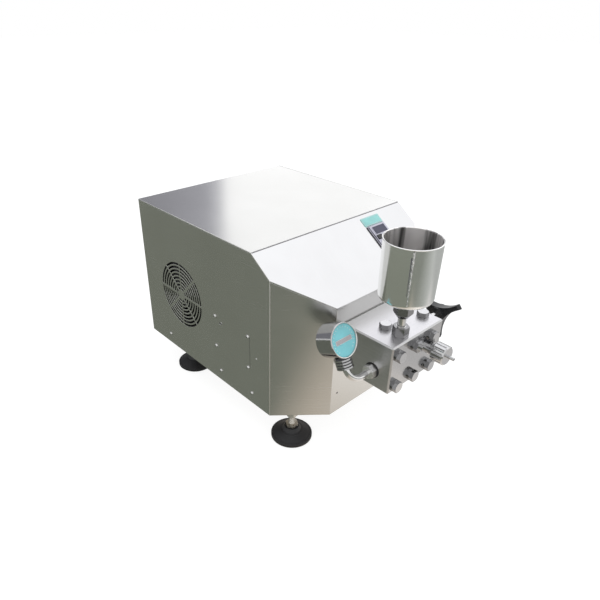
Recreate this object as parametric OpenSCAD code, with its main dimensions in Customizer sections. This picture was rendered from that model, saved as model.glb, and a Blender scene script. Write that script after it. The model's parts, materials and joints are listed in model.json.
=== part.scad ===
// Bench-top high-pressure homogenizer. All sizes are millimetres.
// The origin is on the floor under the middle of the overall box.
// The pump end faces -Y, the fan panel faces -X and +Z is up.

/* [Casing] */
// Width across the two side panels
casing_w = 400; // [380:5:460]
// Length from the front face to the rear face
casing_l = 490; // [480:5:560]
// Height of the casing without its feet
casing_h = 320; // [310:5:380]
// Thickness of the sheet panels
sheet_t = 2; // [1:0.5:3]
// How far back the sloped front runs
slope_run = 122; // [112:1:140]
// How far the sloped front drops
slope_drop = 87.5; // [70:0.5:100]
// Width that each front corner is cut by
corner_x = 87; // [70:1:95]
// Depth that each front corner is cut by
corner_y = 74; // [60:1:80]
// Thickness of the base plate
base_t = 4; // [3:0.5:6]
// Height of the lip round the base plate
base_lip_h = 36; // [32:1:45]
// Width of the folds behind the rear panel
rear_fold_w = 18; // [14:1:24]

/* [Fan grille] */
// Radius of the outermost ring slot
grille_r = 71.5; // [68:0.5:72]
// Radius of the solid middle
grille_hub_r = 9; // [6:0.5:14]
// Number of ring slots
grille_rings = 8; // [6:1:9]
// Width of one ring slot
grille_slot_w = 4.6; // [3:0.2:5]
// Width of the broad spokes between the slots
grille_spoke_w = 5; // [3:0.5:8]
// Width of the thin spokes
grille_thin_w = 3; // [2:0.5:5]
// Distance of the fan behind the front face
fan_back = 352; // [340:1:365]
// Height of the fan above the casing's base
fan_up = 147; // [140:1:160]
// Depth of the fan frame
fan_depth = 45; // [40:1:50]
// Wall of the fan frame
fan_wall = 3; // [2:0.5:4]
// Gap between blade tips and frame
fan_tip_gap = 2; // [1:0.5:3]
// Number of fan blades
fan_blades = 7; // [5:1:9]
// Radius of the fan's hub
fan_hub_r = 30; // [26:1:34]
// Pitch of the blades from the fan's plane
fan_pitch = 38; // [25:1:45]

/* [Feet] */
// Gap between the floor and the casing
floor_gap = 60; // [56:1:70]
// Radius of a foot pad
pad_r = 40; // [34:1:45]
// Height of a pad's rim
pad_rim_h = 8; // [6:0.5:10]
// Height of a pad to its top
pad_h = 24; // [20:1:26]
// Radius of a pad's top
pad_top_r = 14; // [12:0.5:18]
// Radius of a foot's stud
stud_r = 7; // [6:0.5:8]
// Height of a stud above its pad's socket
stud_l = 74; // [72:1:84]
// Depth of the stud's socket in the pad
stud_socket = 8; // [6:1:12]
// Distance of a foot from the casing's side
foot_inset = 42; // [40:1:60]
// Distance of the front feet behind the front face
foot_front = 56; // [54:1:80]
// Distance of the rear feet behind the front face
foot_rear = 381; // [360:1:430]

/* [Pump block] */
// Width of the pump block
block_w = 144; // [140:1:160]
// Depth of the pump block
block_d = 108; // [106:1:130]
// Height of the pump block
block_h = 94; // [92:1:110]
// Middle of the block, across the casing
block_x = -22; // [-30:1:-10]
// Height of the block's underside above the casing's base
block_up = 102; // [90:1:110]
// Bevel on the block's edges
block_bevel = 2.5; // [1:0.5:4]
// Inset of the carrying flange from the block's outline
flange_inset = 6; // [5:0.5:7]

/* [Block bolts] */
// Bolt radius
bolt_r = 6; // [5:0.5:6]
// Size across flats of a bolt head
bolt_af = 19; // [17:1:20]
// Height of a bolt head
bolt_head_h = 7.5; // [6:0.5:9]
// Radius of a washer
washer_r = 11; // [10.5:0.25:11]
// Thickness of a washer
washer_t = 2.5; // [1.5:0.5:3]
// First column from the block's left face
bolt_edge_x = 17; // [15:1:18]
// Distance between columns
bolt_pitch_x = 47; // [46:1:48]
// Lower row above the block's underside
bolt_edge_z = 13; // [13:1:15]
// Distance between rows
bolt_pitch_z = 61; // [60:1:62]
// Length of thread in the carrying flange
bolt_grip = 20; // [16:1:22]

/* [Plunger and check valves] */
// Plunger axis from the block's left face
plunger_in = 44; // [42:1:45]
// Plunger axis above the block's underside
plunger_up = 26; // [26:1:28]
// Plunger radius
plunger_r = 7; // [6:0.5:7.5]
// Half of the plunger's stroke
half_stroke = 12; // [8:1:14]
// Crosshead radius
crosshead_r = 15; // [13:0.5:17]
// Crosshead length
crosshead_l = 60; // [50:1:70]
// Radius of the packing round the plunger
packing_r = 13; // [12:0.5:14]
// Length of the packing
packing_l = 14; // [10:1:16]
// Length of the packing gland
gland_bush_l = 10; // [8:1:12]
// Radius of the check valve bores
valve_bore_r = 8; // [7.5:0.5:8.5]
// Radius of the passages below the seats
seat_hole_r = 4; // [3.5:0.5:4.5]
// Radius of the check valve balls
ball_r = 5.5; // [5:0.25:6]
// Lift of the check valve balls
ball_lift = 2.5; // [2:0.5:3]
// Suction valve in front of the casing
suction_out = 88; // [86:1:90]
// Discharge valve in front of the casing
discharge_out = 57; // [55:1:58]
// Size across flats of the top plugs
plug_af = 19; // [18:1:24]
// Height of a top plug's head
plug_head_h = 9; // [8:0.5:14]
// Depth of a top plug in the block
plug_in = 16; // [14:1:18]
// Right-hand plug from the block's right face
side_plug_in = 17; // [15:1:19]
// Right-hand plug in front of the casing
side_plug_out = 76; // [74:1:80]

/* [Hopper] */
// Outer radius at the rim
hopper_rim_r = 48; // [47:0.5:52]
// Outer radius just above the bottom
hopper_low_r = 45.5; // [40:0.5:46]
// Height of the cup
hopper_h = 105; // [95:1:140]
// Wall of the cup
hopper_wall = 1.5; // [1.5:0.5:2.5]
// Rounding of the cup's bottom corner
hopper_corner = 9; // [6:1:12]
// Radius of the rolled rim
rim_bead_r = 1; // [0.8:0.1:2]
// Radius of the stem below the cup
stem_r = 7; // [6.5:0.5:7.5]
// Radius of the passage down the stem
stem_hole_r = 4.5; // [4:0.25:5]
// Height of the stem above the union nut
stem_l = 18; // [14:1:26]
// Size across flats of the union nut
union_af = 25; // [24:1:30]
// Height of the union nut
union_h = 18; // [14:1:22]
// Depth of the stem in the block
stem_in = 20; // [18:1:22]
// Height of the adaptor under the cup
adaptor_h = 34; // [30:1:40]
// Radius of the adaptor's round seat
adaptor_r = 16.5; // [15:0.5:20]
// Height of the adaptor's round seat
adaptor_seat_h = 9; // [6:1:12]
// Size across flats of the adaptor's hexagon
adaptor_af = 29; // [26:1:30]
// Radius at the adaptor's lower end
adaptor_low_r = 10; // [9:0.5:12]
// Height of the cone at the adaptor's lower end
adaptor_cone_h = 7; // [5:1:9]
// Depth of the stem in the adaptor
adaptor_socket = 9; // [6:1:12]

/* [Homogenizing valve] */
// Valve axis in front of the casing
valve_out = 54; // [52:1:55]
// Valve axis above the block's underside
valve_up = 52; // [50:1:53]
// Radius of the valve chamber
chamber_r = 12; // [11:0.5:12]
// Depth of the valve chamber
chamber_l = 56; // [54:1:60]
// Thickness of the valve seat
seat_t = 12; // [10:1:14]
// Radius of the hole in the valve seat
seat_r = 2.5; // [2:0.25:3]
// Travel of the valve core
core_travel = 3; // [2:0.5:4]
// Radius of the valve core
core_r = 6; // [5:0.5:6.5]
// Depth of the bonnet in the chamber
bonnet_in = 24; // [20:1:28]
// Size across flats of the bonnet
bonnet_af = 36; // [32:1:41]
// Height of the bonnet's hexagon
bonnet_hex_h = 14; // [10:1:18]
// Radius of the bonnet's neck
bonnet_r = 14; // [13:0.5:16]
// Length of the bonnet's neck
bonnet_l = 30; // [18:1:40]
// Radius of the spindle
spindle_r = 8; // [7:0.5:9]
// Bare length of spindle between bonnet and handle
spindle_free = 24; // [14:1:30]
// Reach of a handle arm
handle_r = 52; // [44:1:60]
// Narrowest half-width of a handle arm
handle_arm_w = 4.6; // [4:0.2:7]
// Radius of the handle's hub
handle_hub_r = 15; // [13:0.5:18]
// Length of the handle's hub
handle_hub_l = 24; // [20:1:30]
// Thickness of an arm at its tip
handle_tip_t = 11; // [8:0.5:14]
// Thickness of an arm at its root
handle_root_t = 18; // [14:0.5:20]

/* [Outlet] */
// Outlet axis from the block's right face
outlet_in = 38; // [36:1:39]
// Radius of the outlet's neck
neck_r = 11; // [10:0.25:11]
// Length of the outlet's neck
neck_l = 15; // [13:1:20]
// Depth of the neck's spigot in the block
neck_in = 14; // [10:1:18]
// Radius of the fluted lock nut
cap_r = 18; // [16:0.5:20]
// Length of the fluted lock nut
cap_l = 25; // [20:1:32]
// Number of flutes
flutes = 14; // [10:1:18]
// Outer radius of the nozzle
nozzle_r = 3; // [2.5:0.25:4]
// Length of the nozzle past the lock nut
nozzle_l = 13; // [10:1:20]
// Bore radius of the nozzle
nozzle_hole_r = 1.5; // [1:0.25:2]

/* [Gauge] */
// Gauge port in front of the casing
gauge_out = 71; // [70:1:73]
// Gauge port above the block's underside
gauge_up = 33; // [30:1:36]
// Outer radius of the gauge tube
tube_r = 6; // [5:0.5:7]
// Bore radius of the gauge tube
tube_hole_r = 3; // [2:0.5:3.5]
// Straight length of the gauge tube
tube_l = 17; // [10:1:30]
// Bend radius of the gauge tube
tube_bend = 28; // [22:1:36]
// Size across flats of the tube nut
tube_nut_af = 22; // [19:1:24]
// Thickness of the tube nut
tube_nut_t = 12; // [9:1:16]
// Lean of the gauge backwards
gauge_lean = 26; // [10:1:35]
// Radius of the gauge case
gauge_r = 29.5; // [26:0.5:34]
// Depth of the gauge case
gauge_depth = 40; // [34:1:44]
// Distance of the gauge's face in front of its stem
gauge_front = 16; // [14:1:18]
// Width of the gauge's bezel
gauge_bezel_w = 2; // [1.5:0.5:5]
// Length of the finned socket
fin_l = 19; // [16:1:26]
// Radius of the fins
fin_r = 14.5; // [12:0.5:16]
// Number of fins
fins = 4; // [3:1:5]

/* [Controller] */
// Middle of the controller across the casing
panel_x = 95.5; // [80:0.5:100]
// Distance of the controller down the slope
panel_down = 31; // [24:1:36]
// Width of the controller
panel_w = 49; // [46:1:60]
// Length of the controller down the slope
panel_l = 72; // [68:1:80]
// Height of the controller above the slope
panel_proud = 4; // [3:0.5:6]
// Depth of the controller's box behind the slope
panel_box_l = 46; // [30:1:60]
// Width of the display window
display_w = 36; // [28:1:40]
// Height of the display window
display_l = 17; // [14:1:20]
// Width of a key
key_w = 13; // [10:0.5:14]
// Length of a key
key_l = 9; // [7:0.5:10]
// Travel of a key
key_travel = 1.2; // [0.8:0.1:1.5]

/* [Drive] */
// Width of the crankcase
crankcase_w = 134; // [132:1:140]
// Length of the crankcase behind its flange
crankcase_l = 168; // [166:1:180]
// Height of the crankcase's roof above the plunger
crankcase_up = 70; // [60:1:74]
// Depth of the flange through the front panel
flange_d = 24; // [24:1:30]
// Crank axis behind the front face
crank_back = 162; // [160:1:165]
// Radius of the crank shaft
crank_r = 15; // [13:0.5:17]
// Outer radius of the crank pulley
crank_pulley_r = 80; // [70:1:84]
// Outer radius of the motor pulley
motor_pulley_r = 39; // [34:1:44]
// Width of one belt
belt_w = 10; // [8:0.5:11]
// Height of one belt
belt_h = 7; // [6:0.5:8]
// Distance between the belts
belt_pitch = 15; // [14:0.5:17]
// Middle of the belts across the casing
belt_x = 120; // [118:1:126]
// Motor axis behind the front face
motor_back = 360; // [345:1:370]
// Radius of the motor frame
motor_r = 72; // [66:1:76]
// Height of the motor's fins
motor_fin = 8; // [5:0.5:10]
// Length of the motor frame
motor_l = 190; // [170:1:200]
// Motor axis above the base plate
motor_up = 92; // [88:1:100]
// Radius of the motor shaft
motor_shaft_r = 12; // [10:0.5:14]

/* [Rear] */
// Length of the cable gland behind the rear panel
gland_l = 24; // [18:1:30]
// Size across flats of the cable gland
gland_af = 24; // [20:1:27]
// Radius of the cord's hole in the gland
gland_hole_r = 5; // [3:0.5:6]
// Distance of the gland from the casing's left side
gland_in = 60; // [50:1:80]
// Height of the gland above the casing's base
gland_up = 62; // [55:1:80]
// Number of vent slots in the rear panel
vents = 9; // [5:1:12]

/* [Hidden] */
$fn = 64;
// Clearances: still fits, running fits, gaps between moving pieces, bolt holes
fit = 0.05;
run = 0.08;
gap = 0.3;
hole_gap = 0.5;
// Longer than any cut needs
cut = 1;

// Colours of the finishes
satin = "#c3c5c1";
polished = "#b4b8b4";
dark_steel = "#77797a";
black = "#1d1d1f";
painted = "#56636b";
brass = "#b59a54";
teal = "#5cc0bf";

// Main planes
half_w = casing_w / 2;
base_z = floor_gap;
top_z = floor_gap + casing_h;
slope_a = atan(slope_drop / slope_run);
front_reach = block_d + neck_l + cap_l + nozzle_l;
front_y = (front_reach - casing_l - gland_l) / 2;
inner_w = casing_w - 2 * sheet_t;

// Block faces and the axes inside it
block_left = block_x - block_w / 2;
block_right = block_x + block_w / 2;
block_bottom = base_z + block_up;
block_top = block_bottom + block_h;
block_front = front_y - block_d;
plunger_x = block_left + plunger_in;
plunger_z = block_bottom + plunger_up;
suction_y = front_y - suction_out;
discharge_y = front_y - discharge_out;
side_plug_x = block_right - side_plug_in;
side_plug_y = front_y - side_plug_out;
valve_y = front_y - valve_out;
valve_z = block_bottom + valve_up;
outlet_x = block_right - outlet_in;
gauge_y = front_y - gauge_out;
gauge_z = block_bottom + gauge_up;
bolt_xs = [for (i = [0:2]) block_left + bolt_edge_x + i * bolt_pitch_x];
bolt_zs = [for (i = [0:1]) block_bottom + bolt_edge_z + i * bolt_pitch_z];

// Plunger line: the packing and gland sit in a counterbore at the block's back
packing_depth = packing_l + gland_bush_l;
bore_room = 1;
tip_past_packing = 8;
bore_past_suction = 4;
crosshead_room = 6;
plunger_bore_r = plunger_r + bore_room;
plunger_tip = packing_depth + half_stroke + tip_past_packing;
plunger_bore_l = suction_out + seat_hole_r + bore_past_suction;
crosshead_start = flange_d + half_stroke + crosshead_room;
crosshead_bore_l = crosshead_l + 2 * (half_stroke + crosshead_room);

// Check valves: a ball sits against the edge of a hole
ball_seat = sqrt(ball_r * ball_r - seat_hole_r * seat_hole_r);
suction_seat_z = block_top - stem_in;
suction_ball_z = suction_seat_z - sqrt(ball_r * ball_r - stem_hole_r * stem_hole_r) - gap;
seat_wall = 8;
discharge_seat_z = plunger_z + plunger_bore_r + seat_wall;
discharge_ball_z = discharge_seat_z + ball_seat + gap;
// Springs of the check valves touch the balls this share of a radius from their middle
spring_contact = 0.8;
spring_wire = 1.2;
spring_turns = 5;
spring_room = 2;
spring_r = valve_bore_r - spring_room;

// Hopper levels
union_z = block_top;
adaptor_z = union_z + union_h + stem_l;
cup_z = adaptor_z + adaptor_h;
adaptor_hex_h = adaptor_h - adaptor_cone_h - adaptor_seat_h;

// Homogenizing valve places along X
chamber_x = block_right - chamber_l;
seat_x = chamber_x + seat_t;
core_x = seat_x + core_travel + gap;
bonnet_x = block_right - bonnet_in;
bonnet_end = block_right + bonnet_hex_h + bonnet_l;
guide_end = block_right + bonnet_hex_h / 2;
core_end = guide_end + core_travel + gap;
spindle_x = core_end + gap;
hub_x = bonnet_end + spindle_free;
hub_bolt_share = 0.7;
hub_bolt_r = spindle_r * hub_bolt_share;
// Scallops between the arms leave each arm narrowest at this share of its reach
waist_share = 0.8;
waist = waist_share * handle_r;
scallop_at = 2 * waist;
scallop_r = scallop_at * sin(60) - handle_arm_w;
// First arm's angle from straight down, as the photo shows the handle standing
handle_turn = 232.4;

// Feet
foot_xs = [-half_w + foot_inset, half_w - foot_inset];
foot_ys = [front_y + foot_front, front_y + foot_rear];
foot_nut_h = 8;
foot_nut_af = 22;
stud_hex_z = pad_h + gap;
stud_hex_h = 7;

// Panel screws: sideways rows at the bottom, and pairs behind
screw_r = 2.5;
screw_head_r = 4.5;
screw_head_h = 2.6;
side_screw_up = 23;
side_screw_front = 125;
side_screw_mid = 223;
side_screw_end = 79;
side_screw_z = base_z + side_screw_up;
side_screw_ds = [side_screw_front, side_screw_mid, casing_l - side_screw_end];
rear_screw_shares = [0.2, 0.5, 0.85];
rear_screw_zs = [for (share = rear_screw_shares) base_z + share * casing_h];
// Plate of terminals behind the left panel, with its four screws
plate_back = 185;
plate_up = 113;
plate_pitch_d = 100;
plate_pitch_z = 69;
plate_t = 2;
plate_margin = 12;
plate_screw_l = sheet_t + plate_t;
// Small hole through the left panel and the plate, from the plate's middle
sight_back = 35;
sight_up = 24;
terminals = 5;
terminal_size = [26, 15, 40];
terminal_pitch = 18;
// Groove along the lid's fold
fold_groove_w = 1.2;
fold_groove_d = 0.4 * sheet_t;

// Drive
base_top = base_z + base_t;
crank_y = front_y + crank_back;
motor_y = front_y + motor_back;
motor_z = base_top + motor_up;
crankcase_shift = 8;
belt_sunk = 1;
pulley_edge = 4;
pulley_room = 8;
crankcase_x = block_x - crankcase_shift;
crank_belt_r = crank_pulley_r - belt_h - belt_sunk;
motor_belt_r = motor_pulley_r - belt_h - belt_sunk;
pulley_w = 2 * belt_pitch + pulley_edge;
motor_end = belt_x - pulley_w / 2 - pulley_room;
motor_hole_x = motor_end - motor_l * 2 / 3;
motor_start = motor_end - motor_l;

// Outlet's spigot, the nozzle's collar and the flutes
spigot_r = neck_r * 0.7;
collar_r = nozzle_r + 2;
flute_r = 1.8;
flute_end = 3;

// Gauge frame: the tube leaves along -X and bends up into the leaning stem
tube_end_x = block_left - tube_nut_t - tube_l;
gauge_x = tube_end_x - tube_bend;
gauge_stem = fin_l + gauge_r;
gauge_recess = 4;
tube_nut_in = 12;

// Controller
key_spread = 1;
key_first = 29;
key_pitch = 17;
display_edge = 5;
key_dx = panel_w / 4 + key_spread;
key_rows = [panel_down + key_first, panel_down + key_first + key_pitch];
display_down = panel_down + display_edge + display_l / 2;
display_sunk = 1;
display_t = 1.4;
key_depth = 4;
key_proud = 0.8;
panel_lip = 4;

// Fan
fan_x = -half_w + sheet_t;
fan_y = front_y + fan_back;
fan_z = base_z + fan_up;
fan_bore_room = 1;
fan_bore_r = grille_r + fan_bore_room;
fan_disc_t = 4;
fan_shaft_r = 5;
fan_boss_l = 14;
fan_front = 6;
fan_back_room = 2;
blade_t = 2;
blade_share = 0.8;

// Cable gland
gland_body_r = gland_af * 0.35;
gland_dome_r = gland_af * 0.46;
gland_hex_h = gland_l / 3;
gland_shoulder = gland_l * 0.75;
gland_nut_h = 8;

// Plan of the casing, moved inwards by an even inset, from the front face back
function plan(inset) =
    let (corner = norm([corner_x, corner_y]),
         side_y = corner_y + inset * (corner - corner_y) / corner_x,
         front_x = half_w - corner_x - inset * (corner - corner_x) / corner_y)
    [[half_w - inset, casing_l - inset], [half_w - inset, side_y], [front_x, inset],
     [-front_x, inset], [inset - half_w, side_y], [inset - half_w, casing_l - inset]];

// Points along a coil that rises along Z
function coil_point(r, h, turns, t) = [r * cos(360 * turns * t), r * sin(360 * turns * t), h * t];

module in_casing() {
    translate([0, front_y, base_z]) children();
}

// Turns children drawn along +Z to run along +X, +Y or -Y
module along_x() {
    rotate([0, 90, 0]) children();
}

module along_y() {
    rotate([-90, 0, 0]) children();
}

module along_front() {
    rotate([90, 0, 0]) children();
}

// Draws a flat shape in distance behind the front and height, with its thickness along X
module side_plate(t) {
    rotate([90, 0, 90]) linear_extrude(t) children();
}

// Local frame on the slope: X across, -Y down the slope from its top edge, Z out of it
module on_slope() {
    translate([0, front_y + slope_run, top_z]) rotate([slope_a, 0, 0]) children();
}

module hexagon(af, h) {
    cylinder(d = af / cos(30), h = h, $fn = 6);
}

// Hexagon with its corners turned off at both ends
module turned_hexagon(af, h) {
    corner_r = af / cos(30) / 2;
    bevel = (corner_r - af / 2) / 2;
    intersection() {
        hexagon(af, h);
        rotate_extrude()
            polygon([[0, 0], [af / 2, 0], [corner_r, bevel], [corner_r, h - bevel], [af / 2, h], [0, h]]);
    }
}

module ring(r_out, r_in, h) {
    difference() {
        cylinder(r = r_out, h = h);
        translate([0, 0, -cut]) cylinder(r = r_in, h = h + 2 * cut);
    }
}

// Space below the folded lid, drawn as distance behind the front and height
module under_lid() {
    lid_d = slope_run + sheet_t * (1 / cos(slope_a) - 1) / tan(slope_a);
    low_z = casing_h - slope_drop - sheet_t / cos(slope_a);
    high_z = casing_h - sheet_t;
    polygon([[casing_l, 0], [0, 0], [0, low_z], [lid_d, high_z], [casing_l, high_z]]);
}

module block_outline(inset) {
    translate([block_left + inset, block_up + base_z + inset])
        square([block_w - 2 * inset, block_h - 2 * inset]);
}

module base_plate() {
    color(dark_steel) difference() {
        in_casing() difference() {
            linear_extrude(base_lip_h) polygon(plan(sheet_t));
            translate([0, 0, base_t]) linear_extrude(base_lip_h) polygon(plan(2 * sheet_t));
        }
        for (x = foot_xs, y = foot_ys)
            translate([x, y, base_z - cut]) cylinder(r = stud_r + 2 * run, h = base_t + 2 * cut);
        side_screw_holes();
    }
}

// Shanks of the side screws, as holes through both walls
module side_screw_holes() {
    for (d = side_screw_ds)
        translate([-half_w - cut, front_y + d, side_screw_z])
            along_x() cylinder(r = screw_r, h = casing_w + 2 * cut);
}

// One side panel with its fold behind the rear panel
module side_sheet(x) {
    inward = x < 0 ? 1 : -1;
    fold_x = x + inward * sheet_t;
    in_casing() {
        translate([min(x, fold_x), 0, 0]) side_plate(sheet_t) intersection() {
            under_lid();
            translate([corner_y, 0]) square([casing_l - corner_y, casing_h]);
        }
        translate([min(fold_x, fold_x + inward * rear_fold_w), casing_l - 2 * sheet_t, base_lip_h])
            cube([rear_fold_w, sheet_t, casing_h - base_lip_h - 2 * sheet_t]);
    }
}

module rear_screw_holes() {
    for (x = [-1, 1], z = rear_screw_zs)
        translate([x * (half_w - sheet_t - rear_fold_w / 2), front_y + casing_l - 3 * sheet_t, z])
            along_y() cylinder(r = screw_r, h = 4 * sheet_t);
}

// Ring slots broken by four broad and four thin spokes
module grille_slots() {
    pitch = (grille_r - grille_hub_r) / grille_rings;
    difference() {
        for (i = [0:grille_rings - 1]) difference() {
            circle(grille_r - i * pitch);
            circle(grille_r - i * pitch - grille_slot_w);
        }
        for (a = [0, 135, 180, 315]) rotate(a) grille_spoke(grille_spoke_w);
        for (a = [45, 90, 225, 270]) rotate(a) grille_spoke(grille_thin_w);
    }
}

module grille_spoke(w) {
    translate([0, -w / 2]) square([grille_r + cut, w]);
}

module plate_screw_places() {
    for (d = [-0.5, 0.5], z = [-0.5, 0.5])
        translate([-half_w, front_y + plate_back + d * plate_pitch_d, base_z + plate_up + z * plate_pitch_z])
            children();
}

// Holes of the plate's four screws and the small one between them, to a depth inside the panel
module plate_holes(depth) {
    plate_screw_places() translate([-cut, 0, 0]) along_x() cylinder(r = screw_r, h = depth + 2 * cut);
    in_casing() translate([-half_w - cut, plate_back + sight_back, plate_up + sight_up])
        along_x() cylinder(r = screw_r, h = depth + 2 * cut);
}

module left_side_panel() {
    color(satin) difference() {
        side_sheet(-half_w);
        in_casing() translate([-half_w - cut, fan_back, fan_up])
            side_plate(sheet_t + 2 * cut) grille_slots();
        plate_holes(sheet_t);
        side_screw_holes();
        rear_screw_holes();
    }
}

module right_side_panel() {
    color(satin) difference() {
        side_sheet(half_w);
        side_screw_holes();
        rear_screw_holes();
    }
}

// Top and slope are one folded sheet that covers the walls, with a groove along the fold
module top_panel() {
    color(satin) difference() {
        in_casing() intersection() {
            translate([-half_w, 0, 0]) side_plate(casing_w) difference() {
                polygon([[casing_l, 0], [0, 0], [0, casing_h - slope_drop],
                         [slope_run, casing_h], [casing_l, casing_h]]);
                under_lid();
            }
            linear_extrude(casing_h) polygon(plan(0));
        }
        in_casing() translate([-half_w - cut, slope_run - fold_groove_w / 2, casing_h - fold_groove_d])
            cube([casing_w + 2 * cut, fold_groove_w, fold_groove_d + cut]);
        on_slope() controller_box(hole_gap);
    }
}

// Front face and both cut corners are one folded sheet
module front_panel() {
    color(satin) difference() {
        in_casing() intersection() {
            linear_extrude(casing_h) difference() {
                polygon(plan(0));
                polygon(plan(sheet_t));
            }
            translate([-half_w, 0, 0]) side_plate(casing_w) intersection() {
                under_lid();
                square([corner_y, casing_h]);
            }
        }
        translate([0, front_y + sheet_t + cut, 0]) along_front()
            linear_extrude(sheet_t + 2 * cut) block_outline(flange_inset - cut);
    }
}

module rear_panel() {
    vent_w = casing_w / 2;
    vent_h = 6;
    vent_pitch = 14;
    color(satin) difference() {
        in_casing() translate([-inner_w / 2, casing_l - sheet_t, 0])
            cube([inner_w, sheet_t, casing_h - sheet_t]);
        in_casing() for (i = [0:vents - 1])
            translate([0, casing_l + cut, casing_h / 2 + (i - (vents - 1) / 2) * vent_pitch])
                along_front() linear_extrude(sheet_t + 2 * cut) slot(vent_w, vent_h);
        rear_screw_holes();
        translate([-half_w + gland_in, front_y + casing_l - sheet_t - cut, base_z + gland_up])
            along_y() cylinder(r = gland_body_r + fit, h = sheet_t + 2 * cut);
    }
}

// Long hole with round ends
module slot(l, h) {
    square([l - h, h], center = true);
    for (x = [-1, 1]) translate([x * (l - h) / 2, 0]) circle(d = h);
}

// Round-headed screw, its head above Z = 0 and its shank below
module panel_screw(shank) {
    edge_h = screw_head_h / 3;
    crown_r = screw_head_r * 0.6;
    rotate_extrude()
        polygon([[0, -shank], [screw_r - fit, -shank], [screw_r - fit, 0], [screw_head_r, 0],
                 [screw_head_r, edge_h], [crown_r, screw_head_h], [0, screw_head_h]]);
}

module panel_screws() {
    color(polished) {
        for (side = [-1, 1], d = side_screw_ds)
            translate([side * half_w, front_y + d, side_screw_z])
                rotate([0, side * 90, 0]) panel_screw(2 * sheet_t);
        plate_screw_places() rotate([0, -90, 0]) panel_screw(plate_screw_l);
        for (x = [-1, 1], z = rear_screw_zs)
            translate([x * (half_w - sheet_t - rear_fold_w / 2), front_y + casing_l, z])
                along_y() panel_screw(2 * sheet_t);
    }
}

module foot_nuts() {
    color(polished) for (x = foot_xs, y = foot_ys)
        translate([x, y, base_z - foot_nut_h]) difference() {
            turned_hexagon(foot_nut_af, foot_nut_h);
            translate([0, 0, -cut]) cylinder(r = stud_r + 2 * run, h = foot_nut_h + 2 * cut);
        }
}

// Rubber pad with a flat rim, a sloped shoulder and a socket for its stud
module foot_pad(x, y) {
    edge = 2;
    shoulder_w = 4;
    shoulder_h = 6;
    color(black) translate([x, y, 0]) rotate_extrude()
        polygon([[0, 0], [pad_r - edge, 0], [pad_r, edge], [pad_r, pad_rim_h - edge / 2],
                 [pad_r - edge, pad_rim_h], [pad_top_r + shoulder_w, pad_h - shoulder_h], [pad_top_r, pad_h],
                 [stud_r, pad_h], [stud_r, pad_h - stud_socket], [0, pad_h - stud_socket]]);
}

// Threaded stud with the hexagon that turns it
module foot_stud(x, y) {
    color(polished) translate([x, y, 0]) {
        translate([0, 0, pad_h - stud_socket]) cylinder(r = stud_r - fit, h = stud_l);
        translate([0, 0, stud_hex_z]) turned_hexagon(foot_nut_af, stud_hex_h);
    }
}

module foot_pad_front_left() {
    foot_pad(foot_xs[0], foot_ys[0]);
}

module foot_pad_front_right() {
    foot_pad(foot_xs[1], foot_ys[0]);
}

module foot_pad_rear_left() {
    foot_pad(foot_xs[0], foot_ys[1]);
}

module foot_pad_rear_right() {
    foot_pad(foot_xs[1], foot_ys[1]);
}

module foot_stud_front_left() {
    foot_stud(foot_xs[0], foot_ys[0]);
}

module foot_stud_front_right() {
    foot_stud(foot_xs[1], foot_ys[0]);
}

module foot_stud_rear_left() {
    foot_stud(foot_xs[0], foot_ys[1]);
}

module foot_stud_rear_right() {
    foot_stud(foot_xs[1], foot_ys[1]);
}

// Round frame against the left panel, with a motor boss on four struts at its inner end
module fan_frame() {
    strut_w = 10;
    color(black) translate([fan_x, fan_y, fan_z]) along_x() {
        ring(fan_bore_r + fan_wall, fan_bore_r, fan_depth);
        translate([0, 0, fan_depth - fan_disc_t]) difference() {
            for (a = [0:90:270]) rotate(a + 45) translate([0, -strut_w / 2, 0])
                cube([fan_bore_r + fan_wall / 2, strut_w, fan_disc_t]);
            translate([0, 0, -cut]) cylinder(r = fan_hub_r - cut, h = fan_disc_t + 2 * cut);
        }
        translate([0, 0, fan_depth - fan_disc_t]) cylinder(r = fan_hub_r, h = fan_disc_t);
        translate([0, 0, fan_depth - fan_disc_t - fan_boss_l])
            cylinder(r = fan_shaft_r, h = fan_boss_l + cut);
    }
}

// Hub cup with pitched blades, turning on the frame's boss
module fan_rotor() {
    hub_l = fan_depth - fan_disc_t - fan_front - fan_back_room;
    hub_r = fan_hub_r - blade_t;
    blade_r = fan_bore_r - fan_tip_gap;
    blade_w = hub_l / sin(fan_pitch) * blade_share;
    color(dark_steel) translate([fan_x, fan_y, fan_z]) along_x() difference() {
        translate([0, 0, fan_front]) {
            cylinder(r = hub_r, h = hub_l);
            intersection() {
                for (i = [0:fan_blades - 1]) rotate(i * 360 / fan_blades)
                    translate([0, 0, hub_l / 2]) rotate([fan_pitch, 0, 0])
                        translate([0, -blade_w / 2, -blade_t / 2]) cube([blade_r + cut, blade_w, blade_t]);
                ring(blade_r, hub_r - cut, hub_l);
            }
        }
        translate([0, 0, fan_depth - fan_disc_t - fan_boss_l - gap])
            cylinder(r = fan_shaft_r + run, h = fan_boss_l + cut);
    }
}

// Plate of terminals on the inside of the left panel
module terminal_plate() {
    color(painted) difference() {
        translate([-half_w + sheet_t, front_y + plate_back - plate_pitch_d / 2 - plate_margin,
                   base_z + plate_up - plate_pitch_z / 2 - plate_margin]) {
            cube([plate_t, plate_pitch_d + 2 * plate_margin, plate_pitch_z + 2 * plate_margin]);
            for (i = [0:terminals - 1])
                translate([0, 2 * plate_margin + i * terminal_pitch, 2 * plate_margin]) cube(terminal_size);
        }
        plate_holes(plate_screw_l);
    }
}

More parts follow.
